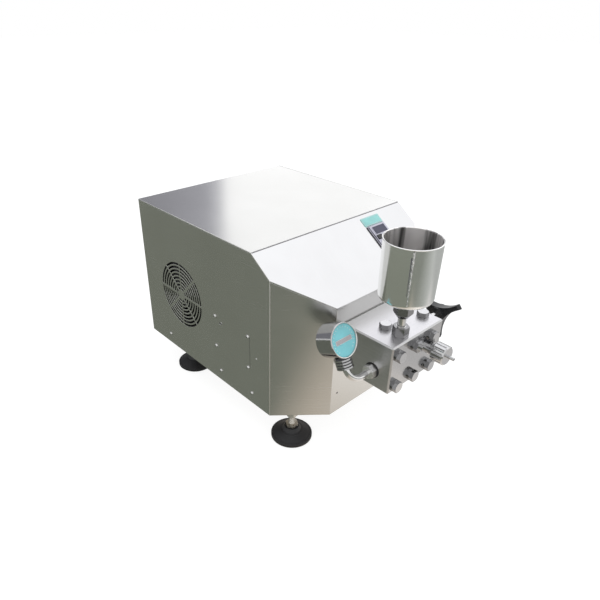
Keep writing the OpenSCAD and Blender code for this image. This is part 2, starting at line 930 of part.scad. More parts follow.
// Gland body through the rear panel, closed by its dome nut
module cable_gland() {
    inside = sheet_t + gland_nut_h;
    place = [-half_w + gland_in, front_y + casing_l, base_z + gland_up];
    color(black) translate(place) along_y() difference() {
        union() {
            translate([0, 0, -inside]) cylinder(r = gland_body_r, h = inside);
            turned_hexagon(gland_af, gland_hex_h);
            rotate_extrude()
                polygon([[0, gland_hex_h], [gland_dome_r, gland_hex_h], [gland_dome_r, gland_shoulder],
                         [gland_body_r, gland_l], [0, gland_l]]);
            translate([0, 0, -inside]) hexagon(gland_af, gland_nut_h);
        }
        translate([0, 0, -inside - cut]) cylinder(r = gland_hole_r, h = gland_l + inside + 2 * cut);
    }
}

// Controller body through the slope, in the slope's frame
module controller_box(room) {
    box_w = panel_w + 2 * (room - panel_lip);
    box_l = panel_l + 2 * (room - panel_lip);
    translate([panel_x - box_w / 2, -panel_down - panel_l / 2 - box_l / 2, -panel_box_l])
        cube([box_w, box_l, panel_box_l]);
}

module key_places() {
    for (side = [-1, 1], s = key_rows) translate([panel_x + side * key_dx, -s, 0]) children();
}

// Front frame with a sloped edge, a window recess and pockets for the keys
module controller_housing() {
    edge = 2;
    color(dark_steel) on_slope() difference() {
        union() {
            controller_box(0);
            translate([panel_x - panel_w / 2, -panel_down - panel_l, 0])
                cube([panel_w, panel_l, panel_proud - edge]);
            translate([panel_x - panel_w / 2 + edge, -panel_down - panel_l + edge, 0])
                cube([panel_w - 2 * edge, panel_l - 2 * edge, panel_proud]);
        }
        translate([panel_x - display_w / 2, -display_down - display_l / 2, panel_proud - display_sunk])
            cube([display_w, display_l, display_sunk + cut]);
        key_places() translate([-key_w / 2 - gap, -key_l / 2 - gap, panel_proud - key_depth - gap])
            cube([key_w + 2 * gap, key_l + 2 * gap, key_depth + gap + cut]);
    }
}

module controller_display() {
    w = display_w - 2 * fit;
    l = display_l - 2 * fit;
    color(black) on_slope() translate([panel_x - w / 2, -display_down - l / 2, panel_proud - display_sunk])
        cube([w, l, display_t]);
}

// One key; its crown stands proud of the frame by more than its travel
module controller_key(side, row) {
    low = panel_proud - key_depth + key_travel;
    color(black) on_slope() translate([panel_x + side * key_dx, -key_rows[row], low])
        linear_extrude(key_depth + key_proud) key_outline();
}

module key_outline() {
    corner = 2;
    square([key_w - 2 * corner, key_l], center = true);
    square([key_w, key_l - 2 * corner], center = true);
    for (x = [-1, 1], y = [-1, 1])
        translate([x * (key_w / 2 - corner), y * (key_l / 2 - corner)]) circle(corner);
}

module key_upper_left() {
    controller_key(-1, 0);
}

module key_upper_right() {
    controller_key(1, 0);
}

module key_lower_left() {
    controller_key(-1, 1);
}

module key_lower_right() {
    controller_key(1, 1);
}

// Finned motor frame on two feet, with its terminal box on top
module motor_frame() {
    fin_count = 24;
    fin_t = 3;
    fin_start = motor_l * 0.12;
    fin_run = motor_l * 0.7;
    foot_w = 30;
    foot_l = 150;
    foot_t = 10;
    foot_end = motor_l * 0.2;
    saddle_l = foot_l * 0.6;
    saddle_h = motor_up - motor_r / 2;
    terminal_box = [80, 70, motor_fin + 30];
    box_start = motor_l * 0.3;
    box_sunk = 10;
    color(painted) difference() {
        union() {
            translate([motor_start, motor_y, motor_z]) along_x() {
                cylinder(r = motor_r, h = motor_l);
                for (i = [0:fin_count - 1]) rotate(i * 360 / fin_count)
                    translate([motor_r - cut, -fin_t / 2, fin_start]) cube([motor_fin + cut, fin_t, fin_run]);
            }
            rows = [motor_start + foot_end, motor_end - foot_end - foot_w];
            for (x = rows) translate([x, motor_y, base_top]) {
                translate([0, -foot_l / 2, 0]) cube([foot_w, foot_l, foot_t]);
                translate([0, -saddle_l / 2, 0]) cube([foot_w, saddle_l, saddle_h]);
            }
            translate([motor_start + box_start, motor_y - terminal_box[1] / 2, motor_z + motor_r - box_sunk])
                cube(terminal_box);
        }
        translate([motor_hole_x, motor_y, motor_z])
            along_x() cylinder(r = motor_shaft_r + run, h = motor_l);
    }
}

module motor_shaft() {
    color(polished) translate([motor_hole_x + gap, motor_y, motor_z])
        along_x() cylinder(r = motor_shaft_r, h = belt_x + pulley_w / 2 - motor_hole_x);
}

// Two-groove pulley, drawn with its middle at Z = 0
module grooved_pulley(r, hole_r) {
    floor_r = r - belt_h - belt_sunk - gap;
    low = belt_w / 2 + gap;
    flare = 1;
    half = pulley_w / 2;
    section = [[r, -low - flare], [floor_r, -low], [floor_r, low], [r, low + flare]];
    groove = [for (x = [-belt_pitch / 2, belt_pitch / 2], p = section) p + [0, x]];
    rotate_extrude() polygon(concat([[hole_r, -half], [r, -half]], groove, [[r, half], [hole_r, half]]));
}

module motor_pulley() {
    color(dark_steel) translate([belt_x, motor_y, motor_z])
        along_x() grooved_pulley(motor_pulley_r, motor_shaft_r + fit);
}

// Large pulley, lightened by round holes in its web
module crank_pulley() {
    web_r = (crank_belt_r + crank_r) / 2;
    color(dark_steel) translate([belt_x, crank_y, plunger_z]) along_x() difference() {
        grooved_pulley(crank_pulley_r, crank_r + fit);
        for (a = [0:60:300]) rotate(a)
            translate([web_r, 0, -pulley_w]) cylinder(r = crank_belt_r / 6, h = 2 * pulley_w);
    }
}

// One belt over both pulleys: an arc on each and a straight run on either side
module belt() {
    along = [motor_y - crank_y, motor_z - plunger_z];
    reach = norm(along);
    wrap = acos((crank_belt_r - motor_belt_r) / reach);
    straight = reach * sin(wrap);
    rotate([90, 0, 90]) translate([crank_y, plunger_z, -belt_w / 2]) rotate(atan2(along[1], along[0])) {
        rotate(wrap)
            rotate_extrude(angle = 360 - 2 * wrap) translate([crank_belt_r, 0]) square([belt_h, belt_w]);
        translate([reach, 0, 0]) rotate(-wrap)
            rotate_extrude(angle = 2 * wrap) translate([motor_belt_r, 0]) square([belt_h, belt_w]);
        rotate(wrap) translate([crank_belt_r, -straight, 0]) cube([belt_h, straight, belt_w]);
        rotate(-wrap) translate([crank_belt_r, 0, 0]) cube([belt_h, straight, belt_w]);
    }
}

module drive_belts() {
    color(black) for (x = [-0.5, 0.5]) translate([belt_x + x * belt_pitch, 0, 0]) belt();
}

module crank_shaft() {
    color(polished) translate([crankcase_x, crank_y, plunger_z])
        along_x() cylinder(r = crank_r, h = belt_x + pulley_w / 2 - crankcase_x);
}

// Closed cast housing with the flange that carries the block through the front panel
module crankcase() {
    wall_top = plunger_z + crankcase_up;
    left = crankcase_x - crankcase_w / 2;
    right = crankcase_x + crankcase_w / 2;
    back_y = front_y + flange_d;
    foot_w = 16;
    foot_t = 12;
    foot_inset_y = 20;
    boss_l = 12;
    boss_wall = 14;
    color(painted) difference() {
        union() {
            translate([left, back_y, base_top]) cube([crankcase_w, crankcase_l, wall_top - base_top]);
            translate([0, back_y + cut, 0])
                along_front() linear_extrude(flange_d + cut) block_outline(flange_inset);
            translate([left - foot_w, back_y + foot_inset_y, base_top])
                cube([crankcase_w + 2 * foot_w, crankcase_l - 2 * foot_inset_y, foot_t]);
            translate([right, crank_y, plunger_z]) along_x() cylinder(r = crank_r + boss_wall, h = boss_l);
        }
        for (x = bolt_xs, z = bolt_zs)
            translate([x, front_y - cut, z]) along_y() cylinder(r = bolt_r + fit, h = bolt_grip + 2 * cut);
        translate([plunger_x, front_y - cut, plunger_z])
            along_y() cylinder(r = plunger_bore_r, h = flange_d + 2 * cut);
        translate([plunger_x, back_y, plunger_z])
            along_y() cylinder(r = crosshead_r + run, h = crosshead_bore_l);
        translate([crankcase_x - gap, crank_y, plunger_z])
            along_x() cylinder(r = crank_r + run, h = crankcase_w);
    }
}

module crosshead() {
    color(polished) translate([plunger_x, front_y + crosshead_start, plunger_z])
        along_y() cylinder(r = crosshead_r, h = crosshead_l);
}

module plunger() {
    color(polished) translate([plunger_x, front_y - plunger_tip, plunger_z])
        along_y() cylinder(r = plunger_r, h = plunger_tip + crosshead_start);
}

module packing() {
    color(black) translate([plunger_x, front_y - packing_depth, plunger_z])
        along_y() ring(packing_r - fit, plunger_r + run, packing_l);
}

module packing_gland() {
    color(brass) translate([plunger_x, front_y - gland_bush_l, plunger_z])
        along_y() ring(packing_r - fit, plunger_r + run, gland_bush_l);
}

// Box with every edge bevelled
module bevelled_box(w, d, h, bevel) {
    intersection() {
        linear_extrude(h) bevelled_square(w, d, bevel);
        translate([0, d, 0]) along_front() linear_extrude(d) bevelled_square(w, h, bevel);
        side_plate(w) bevelled_square(d, h, bevel);
    }
}

module bevelled_square(w, h, b) {
    polygon([[b, 0], [w - b, 0], [w, b], [w, h - b], [w - b, h], [b, h], [0, h - b], [0, b]]);
}

// Straight drilling between two points
module drilling(from, to, r) {
    along = to - from;
    translate(from) rotate([0, acos(along[2] / norm(along)), atan2(along[1], along[0])])
        cylinder(r = r, h = norm(along));
}

// Machined block with its plunger line, valve bores and passages
module pump_block() {
    passage_r = 2.5;
    gauge_bore_l = tube_nut_in + 2;
    leak_hole = [outlet_x - 9, block_bottom + 18];
    leak_hole_l = 12;
    bore_h = block_top - discharge_seat_z + cut;
    passage_h = discharge_seat_z - plunger_z + cut;
    color(satin) difference() {
        translate([block_left, block_front, block_bottom])
            bevelled_box(block_w, block_d, block_h, block_bevel);
        for (x = bolt_xs, z = bolt_zs)
            translate([x, block_front - cut, z])
                along_y() cylinder(r = bolt_r + hole_gap, h = block_d + 2 * cut);
        translate([plunger_x, front_y - plunger_bore_l, plunger_z])
            along_y() cylinder(r = plunger_bore_r, h = plunger_bore_l + cut);
        translate([plunger_x, front_y - packing_depth, plunger_z])
            along_y() cylinder(r = packing_r, h = packing_depth + cut);
        for (y = [suction_y, discharge_y]) {
            translate([plunger_x, y, discharge_seat_z]) cylinder(r = valve_bore_r, h = bore_h);
            translate([plunger_x, y, plunger_z]) cylinder(r = seat_hole_r, h = passage_h);
        }
        translate([side_plug_x, side_plug_y, block_top - plug_in - cut])
            cylinder(r = valve_bore_r, h = plug_in + 2 * cut);
        translate([chamber_x, valve_y, valve_z]) along_x() cylinder(r = chamber_r, h = chamber_l + cut);
        translate([plunger_x, valve_y, valve_z])
            along_x() cylinder(r = seat_r, h = chamber_x - plunger_x + cut);
        translate([outlet_x, block_front - cut, valve_z])
            along_y() cylinder(r = spigot_r + fit, h = neck_in + cut);
        translate([outlet_x, block_front, valve_z])
            along_y() cylinder(r = passage_r, h = block_d - valve_out);
        drilling([block_left - cut, gauge_y, gauge_z], [block_left + gauge_bore_l, gauge_y, gauge_z], tube_r);
        drilling([block_left + gauge_bore_l - cut, gauge_y, gauge_z],
                 [plunger_x, discharge_y, discharge_seat_z + ball_r], passage_r);
        drilling([side_plug_x, side_plug_y, block_top - plug_in], [side_plug_x, valve_y, valve_z], passage_r);
        translate([leak_hole[0], block_front - cut, leak_hole[1]])
            along_y() cylinder(r = passage_r, h = leak_hole_l + cut);
    }
}

// Six hexagon bolts with their washers
module block_bolts() {
    color(polished) for (x = bolt_xs, z = bolt_zs)
        translate([x, block_front, z]) along_front() {
            ring(washer_r, bolt_r + hole_gap, washer_t);
            translate([0, 0, washer_t]) turned_hexagon(bolt_af, bolt_head_h);
            translate([0, 0, -block_d - bolt_grip])
                cylinder(r = bolt_r, h = block_d + bolt_grip + washer_t + cut);
        }
}

// Plug with a hexagon head, its seat at Z = 0
module top_plug(x, y) {
    translate([x, y, block_top]) {
        turned_hexagon(plug_af, plug_head_h);
        translate([0, 0, -plug_in]) cylinder(r = valve_bore_r - fit, h = plug_in + cut);
    }
}

module top_plugs() {
    color(polished) {
        top_plug(plunger_x, discharge_y);
        top_plug(side_plug_x, side_plug_y);
    }
}

// Compression spring as a swept coil with its axis along Z
module spring(r, wire, h, turns) {
    sides = 6;
    steps = 16 * turns;
    rise = h - wire;
    points = [for (i = [0:steps], k = [0:sides - 1])
        let (t = i / steps, b = 360 * k / sides)
        coil_point(r + wire / 2 * cos(b), rise, turns, t) + [0, 0, wire / 2 * (1 + sin(b))]];
    walls = [for (i = [0:steps - 1], k = [0:sides - 1])
        let (n = (k + 1) % sides)
        [i * sides + k, (i + 1) * sides + k, (i + 1) * sides + n, i * sides + n]];
    ends = [[for (k = [0:sides - 1]) k], [for (k = [0:sides - 1]) steps * sides + sides - 1 - k]];
    polyhedron(points, concat(walls, ends));
}

module suction_ball() {
    color(polished) translate([plunger_x, suction_y, suction_ball_z]) sphere(r = ball_r);
}

module suction_spring() {
    room = suction_ball_z - ball_r * spring_contact - discharge_seat_z;
    color(polished) translate([plunger_x, suction_y, discharge_seat_z])
        spring(spring_r, spring_wire, room, spring_turns);
}

module discharge_ball() {
    color(polished) translate([plunger_x, discharge_y, discharge_ball_z]) sphere(r = ball_r);
}

module discharge_spring() {
    low = discharge_ball_z + ball_r * spring_contact;
    color(polished) translate([plunger_x, discharge_y, low])
        spring(spring_r, spring_wire, block_top - plug_in - low, spring_turns);
}

module hopper_union_nut() {
    color(dark_steel) translate([plunger_x, suction_y, union_z]) difference() {
        turned_hexagon(union_af, union_h);
        translate([0, 0, -cut]) cylinder(r = valve_bore_r + fit, h = union_h + 2 * cut);
    }
}

// Tube from the suction valve's seat up to the adaptor
module hopper_stem() {
    low_l = stem_in + union_h;
    whole_l = low_l + stem_l + adaptor_socket;
    color(polished) translate([plunger_x, suction_y, suction_seat_z]) difference() {
        union() {
            cylinder(r = valve_bore_r - fit, h = low_l);
            cylinder(r = stem_r, h = whole_l);
        }
        translate([0, 0, -cut]) cylinder(r = stem_hole_r, h = whole_l + 2 * cut);
    }
}

// Cone below, then a hexagon and a round seat that carries the cup
module hopper_adaptor() {
    color(dark_steel) translate([plunger_x, suction_y, adaptor_z]) difference() {
        union() {
            cylinder(r1 = adaptor_low_r, r2 = adaptor_af / 2, h = adaptor_cone_h);
            translate([0, 0, adaptor_cone_h]) turned_hexagon(adaptor_af, adaptor_hex_h);
            translate([0, 0, adaptor_h - adaptor_seat_h]) cylinder(r = adaptor_r, h = adaptor_seat_h);
        }
        translate([0, 0, -cut]) cylinder(r = stem_r + fit, h = adaptor_socket + cut);
        cylinder(r = stem_hole_r, h = adaptor_h + cut);
    }
}

// Cup wall as one revolved profile: round bottom corner, slight taper, rolled rim
module hopper_cup() {
    corner = hopper_corner;
    turns = 8;
    outer = [for (i = [0:turns]) let (a = -90 + 90 * i / turns)
        [hopper_low_r - corner + corner * cos(a), corner + corner * sin(a)]];
    inner_corner = corner - hopper_wall;
    inner = [for (i = [turns:-1:0]) let (a = -90 + 90 * i / turns)
        [hopper_low_r - corner + inner_corner * cos(a), corner + inner_corner * sin(a)]];
    rim_z = hopper_h - rim_bead_r;
    wall_r = hopper_rim_r - rim_bead_r;
    rim = [[wall_r, rim_z], [wall_r - hopper_wall, rim_z]];
    color(polished) translate([plunger_x, suction_y, cup_z]) rotate_extrude() {
        polygon(concat([[stem_hole_r, 0]], outer, rim, inner, [[stem_hole_r, hopper_wall]]));
        translate([wall_r, rim_z]) circle(rim_bead_r);
    }
}

module valve_seat() {
    color(dark_steel) translate([chamber_x, valve_y, valve_z])
        along_x() ring(chamber_r - fit, seat_r, seat_t);
}

module valve_core() {
    color(polished) translate([core_x, valve_y, valve_z])
        along_x() cylinder(r = core_r, h = core_end - core_x);
}

// Bonnet screwed into the chamber; it guides the core and carries the spindle
module valve_bonnet() {
    color(polished) translate([bonnet_x, valve_y, valve_z]) along_x() difference() {
        union() {
            cylinder(r = chamber_r - fit, h = bonnet_in + cut);
            translate([0, 0, bonnet_in]) turned_hexagon(bonnet_af, bonnet_hex_h);
            translate([0, 0, bonnet_in + bonnet_hex_h - cut]) cylinder(r = bonnet_r, h = bonnet_l + cut);
        }
        translate([0, 0, -cut]) cylinder(r = core_r + run, h = guide_end - bonnet_x + 2 * cut);
        translate([0, 0, guide_end - bonnet_x])
            cylinder(r = spindle_r + run, h = bonnet_end - guide_end + cut);
    }
}

// Screw spindle; its thinner end passes through the hub into a dome nut
module valve_spindle() {
    nut_h = 9;
    hex_h = nut_h * 0.6;
    shoulder_h = nut_h * 0.75;
    dome_r = hub_bolt_r * 1.2;
    color(polished) translate([spindle_x, valve_y, valve_z]) along_x() {
        cylinder(r = spindle_r, h = hub_x - spindle_x);
        cylinder(r = hub_bolt_r, h = hub_x - spindle_x + handle_hub_l + cut);
        translate([0, 0, hub_x - spindle_x + handle_hub_l]) {
            turned_hexagon(3 * hub_bolt_r, hex_h);
            rotate_extrude() polygon([[0, hex_h - cut], [dome_r, hex_h - cut], [dome_r, shoulder_h],
                                      [dome_r / 2, nut_h], [0, nut_h]]);
        }
    }
}

// Three-armed outline: a disc with a round scallop between each pair of arms
module star_outline() {
    difference() {
        circle(handle_r);
        for (a = [60:120:300]) rotate(a) translate([scallop_at, 0]) circle(scallop_r);
    }
}

// Moulded handle: the star outline cut to a profile that thins towards the tips
module star_handle() {
    mid = handle_hub_l / 2;
    root = handle_root_t / 2;
    tip = handle_tip_t / 2;
    nose = 4;
    color(black) translate([hub_x, valve_y, valve_z]) along_x() rotate(handle_turn) difference() {
        union() {
            cylinder(r = handle_hub_r, h = handle_hub_l);
            intersection() {
                linear_extrude(handle_hub_l) star_outline();
                translate([0, 0, mid]) rotate_extrude()
                    polygon([[0, -root], [handle_hub_r, -root], [handle_r - nose, -tip],
                             [handle_r, nose - tip], [handle_r, tip - nose], [handle_r - nose, tip],
                             [handle_hub_r, root], [0, root]]);
            }
        }
        translate([0, 0, -cut]) cylinder(r = hub_bolt_r + fit, h = handle_hub_l + 2 * cut);
    }
}

// Neck screwed into the block's front, with the passage from the valve
module outlet_neck() {
    color(polished) translate([outlet_x, block_front, valve_z]) along_front() difference() {
        union() {
            translate([0, 0, -neck_in]) cylinder(r = spigot_r, h = neck_in + cut);
            cylinder(r = neck_r, h = neck_l);
        }
        translate([0, 0, -neck_in - cut]) cylinder(r = nozzle_hole_r, h = neck_in + neck_l + 2 * cut);
    }
}

// Fluted lock nut that clamps the nozzle on the neck
module outlet_lock_nut() {
    bevel = 2;
    hole_r = collar_r + fit;
    flute_sides = 24;
    color(polished) translate([outlet_x, block_front - neck_l, valve_z]) along_front() difference() {
        rotate_extrude() polygon([[hole_r, 0], [cap_r - bevel, 0], [cap_r, bevel], [cap_r, cap_l - bevel],
                                  [cap_r - bevel, cap_l], [hole_r, cap_l]]);
        for (i = [0:flutes - 1]) rotate(i * 360 / flutes) translate([cap_r + flute_r / 3, 0, flute_end])
            cylinder(r = flute_r, h = cap_l - 2 * flute_end, $fn = flute_sides);
    }
}

module outlet_nozzle() {
    color(polished) translate([outlet_x, block_front - neck_l, valve_z]) along_front() difference() {
        union() {
            cylinder(r = collar_r, h = cap_l);
            cylinder(r = nozzle_r, h = cap_l + nozzle_l);
        }
        translate([0, 0, -cut]) cylinder(r = nozzle_hole_r, h = cap_l + nozzle_l + 2 * cut);
    }
}

// Frame of the leaning stem: Z up the stem from the end of the tube, -Y out of the dial
module on_stem() {
    translate([tube_end_x, gauge_y, gauge_z]) rotate([-gauge_lean, 0, 0])
        translate([-tube_bend, 0, tube_bend]) children();
}

module gauge_tube_nut() {
    color(polished) translate([block_left, gauge_y, gauge_z]) rotate([0, -90, 0]) difference() {
        union() {
            turned_hexagon(tube_nut_af, tube_nut_t);
            translate([0, 0, -tube_nut_in]) cylinder(r = tube_r - fit, h = tube_nut_in + cut);
        }
        translate([0, 0, -tube_nut_in - cut])
            cylinder(r = tube_hole_r, h = tube_nut_t + tube_nut_in + 2 * cut);
    }
}

// Quarter bend from the stem down, then a straight run along +X to the nut
module tube_path(r, past) {
    run_l = tube_l + past;
    translate([tube_end_x, gauge_y, gauge_z]) rotate([-gauge_lean, 0, 0]) translate([0, 0, tube_bend])
        along_front() rotate(180) {
            rotate_extrude(angle = 90) translate([tube_bend, 0]) circle(r);
            rotate(90) translate([0, run_l, 0])
                along_front() linear_extrude(run_l) translate([tube_bend, 0]) circle(r);
        }
}

module gauge_tube() {
    color(polished) difference() {
        tube_path(tube_r, 0);
        tube_path(tube_hole_r, cut);
    }
}

// Finned socket and round case in one turned body, open at the front for the dial
module gauge_case() {
    fin_pitch = fin_l / fins;
    fin_t = fin_pitch * 0.6;
    core_r = fin_r * 0.7;
    back_edge = 4;
    front_edge = 1;
    color(polished) on_stem() difference() {
        union() {
            cylinder(r = core_r, h = fin_l + cut);
            for (i = [0:fins - 1]) translate([0, 0, i * fin_pitch]) cylinder(r = fin_r, h = fin_t);
            translate([0, gauge_depth - gauge_front, gauge_stem]) along_front() rotate_extrude()
                polygon([[0, 0], [gauge_r - back_edge, 0], [gauge_r, back_edge],
                         [gauge_r, gauge_depth - front_edge], [gauge_r - front_edge, gauge_depth],
                         [0, gauge_depth]]);
        }
        translate([0, gauge_recess - gauge_front, gauge_stem]) along_front()
            cylinder(r = gauge_r - gauge_bezel_w, h = gauge_recess + cut);
        translate([0, 0, -cut]) cylinder(r = tube_hole_r, h = fin_l / 2);
    }
}

module gauge_dial() {
    dial_t = 2;
    color(teal) on_stem() translate([0, gauge_recess - gauge_front, gauge_stem])
        along_front() cylinder(r = gauge_r - gauge_bezel_w - fit, h = dial_t);
}

base_plate();
left_side_panel();
right_side_panel();
top_panel();
front_panel();
rear_panel();
panel_screws();
foot_nuts();
foot_pad_front_left();
foot_pad_front_right();
foot_pad_rear_left();
foot_pad_rear_right();
foot_stud_front_left();
foot_stud_front_right();
foot_stud_rear_left();
foot_stud_rear_right();
fan_frame();
fan_rotor();
terminal_plate();
cable_gland();
controller_housing();
controller_display();
key_upper_left();
key_upper_right();
key_lower_left();
key_lower_right();
motor_frame();
motor_shaft();
motor_pulley();
drive_belts();
crank_pulley();
crank_shaft();
crankcase();
crosshead();
plunger();
packing();
packing_gland();
pump_block();
block_bolts();
top_plugs();
suction_ball();
suction_spring();
discharge_ball();
discharge_spring();
hopper_union_nut();
hopper_stem();
hopper_adaptor();
hopper_cup();
valve_seat();
valve_core();
valve_bonnet();
valve_spindle();
star_handle();
outlet_neck();
outlet_lock_nut();
outlet_nozzle();
gauge_tube_nut();
gauge_tube();
gauge_case();
gauge_dial();
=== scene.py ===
"""Dressed scene of a bench-top homogenizer: finishes, fine detail, studio light and camera."""
import json
import math

import bpy
from mathutils import Matrix, Vector


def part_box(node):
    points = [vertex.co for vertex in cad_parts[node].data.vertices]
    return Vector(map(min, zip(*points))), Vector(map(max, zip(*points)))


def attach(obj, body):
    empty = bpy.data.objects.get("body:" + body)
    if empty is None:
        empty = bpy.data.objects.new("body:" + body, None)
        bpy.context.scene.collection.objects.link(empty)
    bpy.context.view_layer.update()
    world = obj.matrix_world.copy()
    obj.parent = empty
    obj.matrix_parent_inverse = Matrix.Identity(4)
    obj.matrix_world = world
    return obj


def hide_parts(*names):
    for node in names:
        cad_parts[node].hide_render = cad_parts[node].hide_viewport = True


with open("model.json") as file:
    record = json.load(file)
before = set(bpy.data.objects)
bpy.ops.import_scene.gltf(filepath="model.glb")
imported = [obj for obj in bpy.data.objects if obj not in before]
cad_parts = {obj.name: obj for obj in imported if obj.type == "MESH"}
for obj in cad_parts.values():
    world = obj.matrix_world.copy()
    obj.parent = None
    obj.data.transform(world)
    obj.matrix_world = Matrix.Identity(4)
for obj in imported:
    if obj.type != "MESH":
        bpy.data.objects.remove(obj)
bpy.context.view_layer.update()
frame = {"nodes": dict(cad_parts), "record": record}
nodes = frame["nodes"]
scene = bpy.context.scene
MM = 0.001

# Places repeated from the solid model, in millimetres
FRONT_Y, REAR_Y = -176.5, 313.5
BASE_Z, TOP_Z = 60.0, 380.0
HALF_W = 200.0
SLOPE_BACK = -54.5
SLOPE_ANGLE = math.degrees(math.atan(87.5 / 122.0))
CORNER_Y = FRONT_Y + 74.0
CORNER_Z = TOP_Z - (SLOPE_BACK - CORNER_Y) * math.tan(math.radians(SLOPE_ANGLE))
CONTROLLER_X = 95.5
CONTROLLER_FACE = 3.95
GAUGE_Y, GAUGE_Z = -247.5, 195.0
GAUGE_LEAN = 26.0
TUBE_BEND = 28.0
GAUGE_STEM = 48.5
DIAL_AHEAD = 14.0
VALVE_Z = 214.0
OUTLET_X = 12.0
CUP_X, CUP_Y = -50.0, -264.5
CUP_WALL_LOW, CUP_WALL = 9.0, 95.0
CUP_WALL_R, CUP_FLARE = 45.5, 1.5
FEET = {"front_left": (-158.0, -120.5), "front_right": (158.0, -120.5),
        "rear_left": (-158.0, 204.5), "rear_right": (158.0, 204.5)}
SCREW_HEAD = 2.6
LOW_SCREWS_BACK, LOW_SCREWS_Z = (125, 223, 411), 83.0
FOUR_SCREWS_BACK, FOUR_SCREWS_Z = 185, 173.0
FOUR_SCREWS_HALF_L, FOUR_SCREWS_HALF_H = 50, 34.5
REAR_SCREWS_X, REAR_SCREWS_UP = 189, (0.2, 0.5, 0.85)

# Place of the photograph's camera, in metres
CAMERA_PLACE = (-0.7240, -0.6924, 0.7473)


# Node materials

def add(tree, kind, inputs=None, **settings):
    """New shader node; an input is given as a value or as another node's output."""
    made = tree.nodes.new(kind)
    for key, value in settings.items():
        setattr(made, key, value)
    for key, value in (inputs or {}).items():
        socket = made.inputs[key]
        if isinstance(value, bpy.types.NodeSocket):
            tree.links.new(value, socket)
        else:
            socket.default_value = value
    return made


def start_material(name):
    made = bpy.data.materials.new(name)
    made.use_nodes = True
    return made, made.node_tree, made.node_tree.nodes["Principled BSDF"]


def stretched_noise(tree, stretch, detail=3.0, rough=0.6):
    """Noise in object space with its own scale along each axis, in features per metre."""
    place = add(tree, "ShaderNodeTexCoord").outputs["Object"]
    mapped = add(tree, "ShaderNodeMapping", {"Vector": place, "Scale": stretch}).outputs["Vector"]
    return add(tree, "ShaderNodeTexNoise", {"Vector": mapped, "Scale": 1.0, "Detail": detail,
                                            "Roughness": rough}).outputs["Fac"]


def between(tree, amount, low, high):
    """Spreads the usual range of a noise over a range of values."""
    return add(tree, "ShaderNodeMapRange", {"Value": amount, "From Min": 0.3, "From Max": 0.7,
                                            "To Min": low, "To Max": high}).outputs["Result"]


def value_mix(tree, amount, first, second):
    return add(tree, "ShaderNodeMix", {"Factor": amount, "A": first, "B": second},
               data_type="FLOAT").outputs["Result"]


def colour_mix(tree, amount, first, second, **settings):
    """Mix of two colours, each given as three numbers or as another node's output."""
    first, second = (colour if isinstance(colour, bpy.types.NodeSocket) else (*colour, 1.0)
                     for colour in (first, second))
    return add(tree, "ShaderNodeMix", {"Factor": amount, "A": first, "B": second},
               data_type="RGBA", **settings).outputs["Result"]


def tinted(colour, amount):
    return tuple(min(1.0, c * amount) for c in colour)


def round_normal(tree, radius):
    """Softly rounded edges for the sharp edges of a solid."""
    return add(tree, "ShaderNodeBevel", {"Radius": radius * MM}, samples=4).outputs["Normal"]


def finish_metal(name, colour, rough, grain, grain_depth=0.02, spread=0.06, edge=0.5, anisotropic=0.0,
                 contrast=0.06):
    """Metal with a grain of streaks, faint cloudy handling marks and softened edges."""
    made, tree, shader = start_material(name)
    streaks = stretched_noise(tree, grain, 4.0, 0.65)
    clouds = stretched_noise(tree, (9.0, 9.0, 9.0), 3.0, 0.55)
    streak_tone = colour_mix(tree, between(tree, streaks, 0.0, 1.0), tinted(colour, 1 - contrast),
                             tinted(colour, 1 + contrast))
    cloud_tone = colour_mix(tree, between(tree, clouds, 0.0, 1.0), (0.86, 0.86, 0.85), (1.0, 1.0, 1.0))
    tree.links.new(colour_mix(tree, 0.35, streak_tone, cloud_tone, blend_type="MULTIPLY"),
                   shader.inputs["Base Color"])
    streak_rough = between(tree, streaks, rough - spread, rough + spread)
    cloud_rough = between(tree, clouds, -spread / 2, spread / 2)
    tree.links.new(add(tree, "ShaderNodeMath", {0: streak_rough, 1: cloud_rough}, operation="ADD").outputs[0],
                   shader.inputs["Roughness"])
    bump = add(tree, "ShaderNodeBump", {"Strength": grain_depth, "Distance": 0.3 * MM, "Height": streaks,
                                        "Normal": round_normal(tree, edge)})
    tree.links.new(bump.outputs["Normal"], shader.inputs["Normal"])
    shader.inputs["Metallic"].default_value = 1.0
    shader.inputs["Anisotropic"].default_value = anisotropic
    return made


def finish_moulded(name, colour, rough, pits=900.0, depth=0.08, edge=0.6, coat=0.0):
    """Moulded plastic, rubber or paint: fine texture, slightly uneven tone and softened edges."""
    made, tree, shader = start_material(name)
    grain = stretched_noise(tree, (pits, pits, pits), 2.0, 0.5)
    clouds = stretched_noise(tree, (22.0, 22.0, 22.0), 4.0, 0.6)
    tree.links.new(colour_mix(tree, between(tree, clouds, 0.0, 1.0), tinted(colour, 0.82),
                              tinted(colour, 1.15)), shader.inputs["Base Color"])
    tree.links.new(between(tree, clouds, rough - 0.06, rough + 0.08), shader.inputs["Roughness"])
    bump = add(tree, "ShaderNodeBump", {"Strength": depth, "Distance": 0.25 * MM, "Height": grain,
                                        "Normal": round_normal(tree, edge)})
    tree.links.new(bump.outputs["Normal"], shader.inputs["Normal"])
    shader.inputs["Coat Weight"].default_value = coat
    shader.inputs["Coat Roughness"].default_value = 0.12
    return made


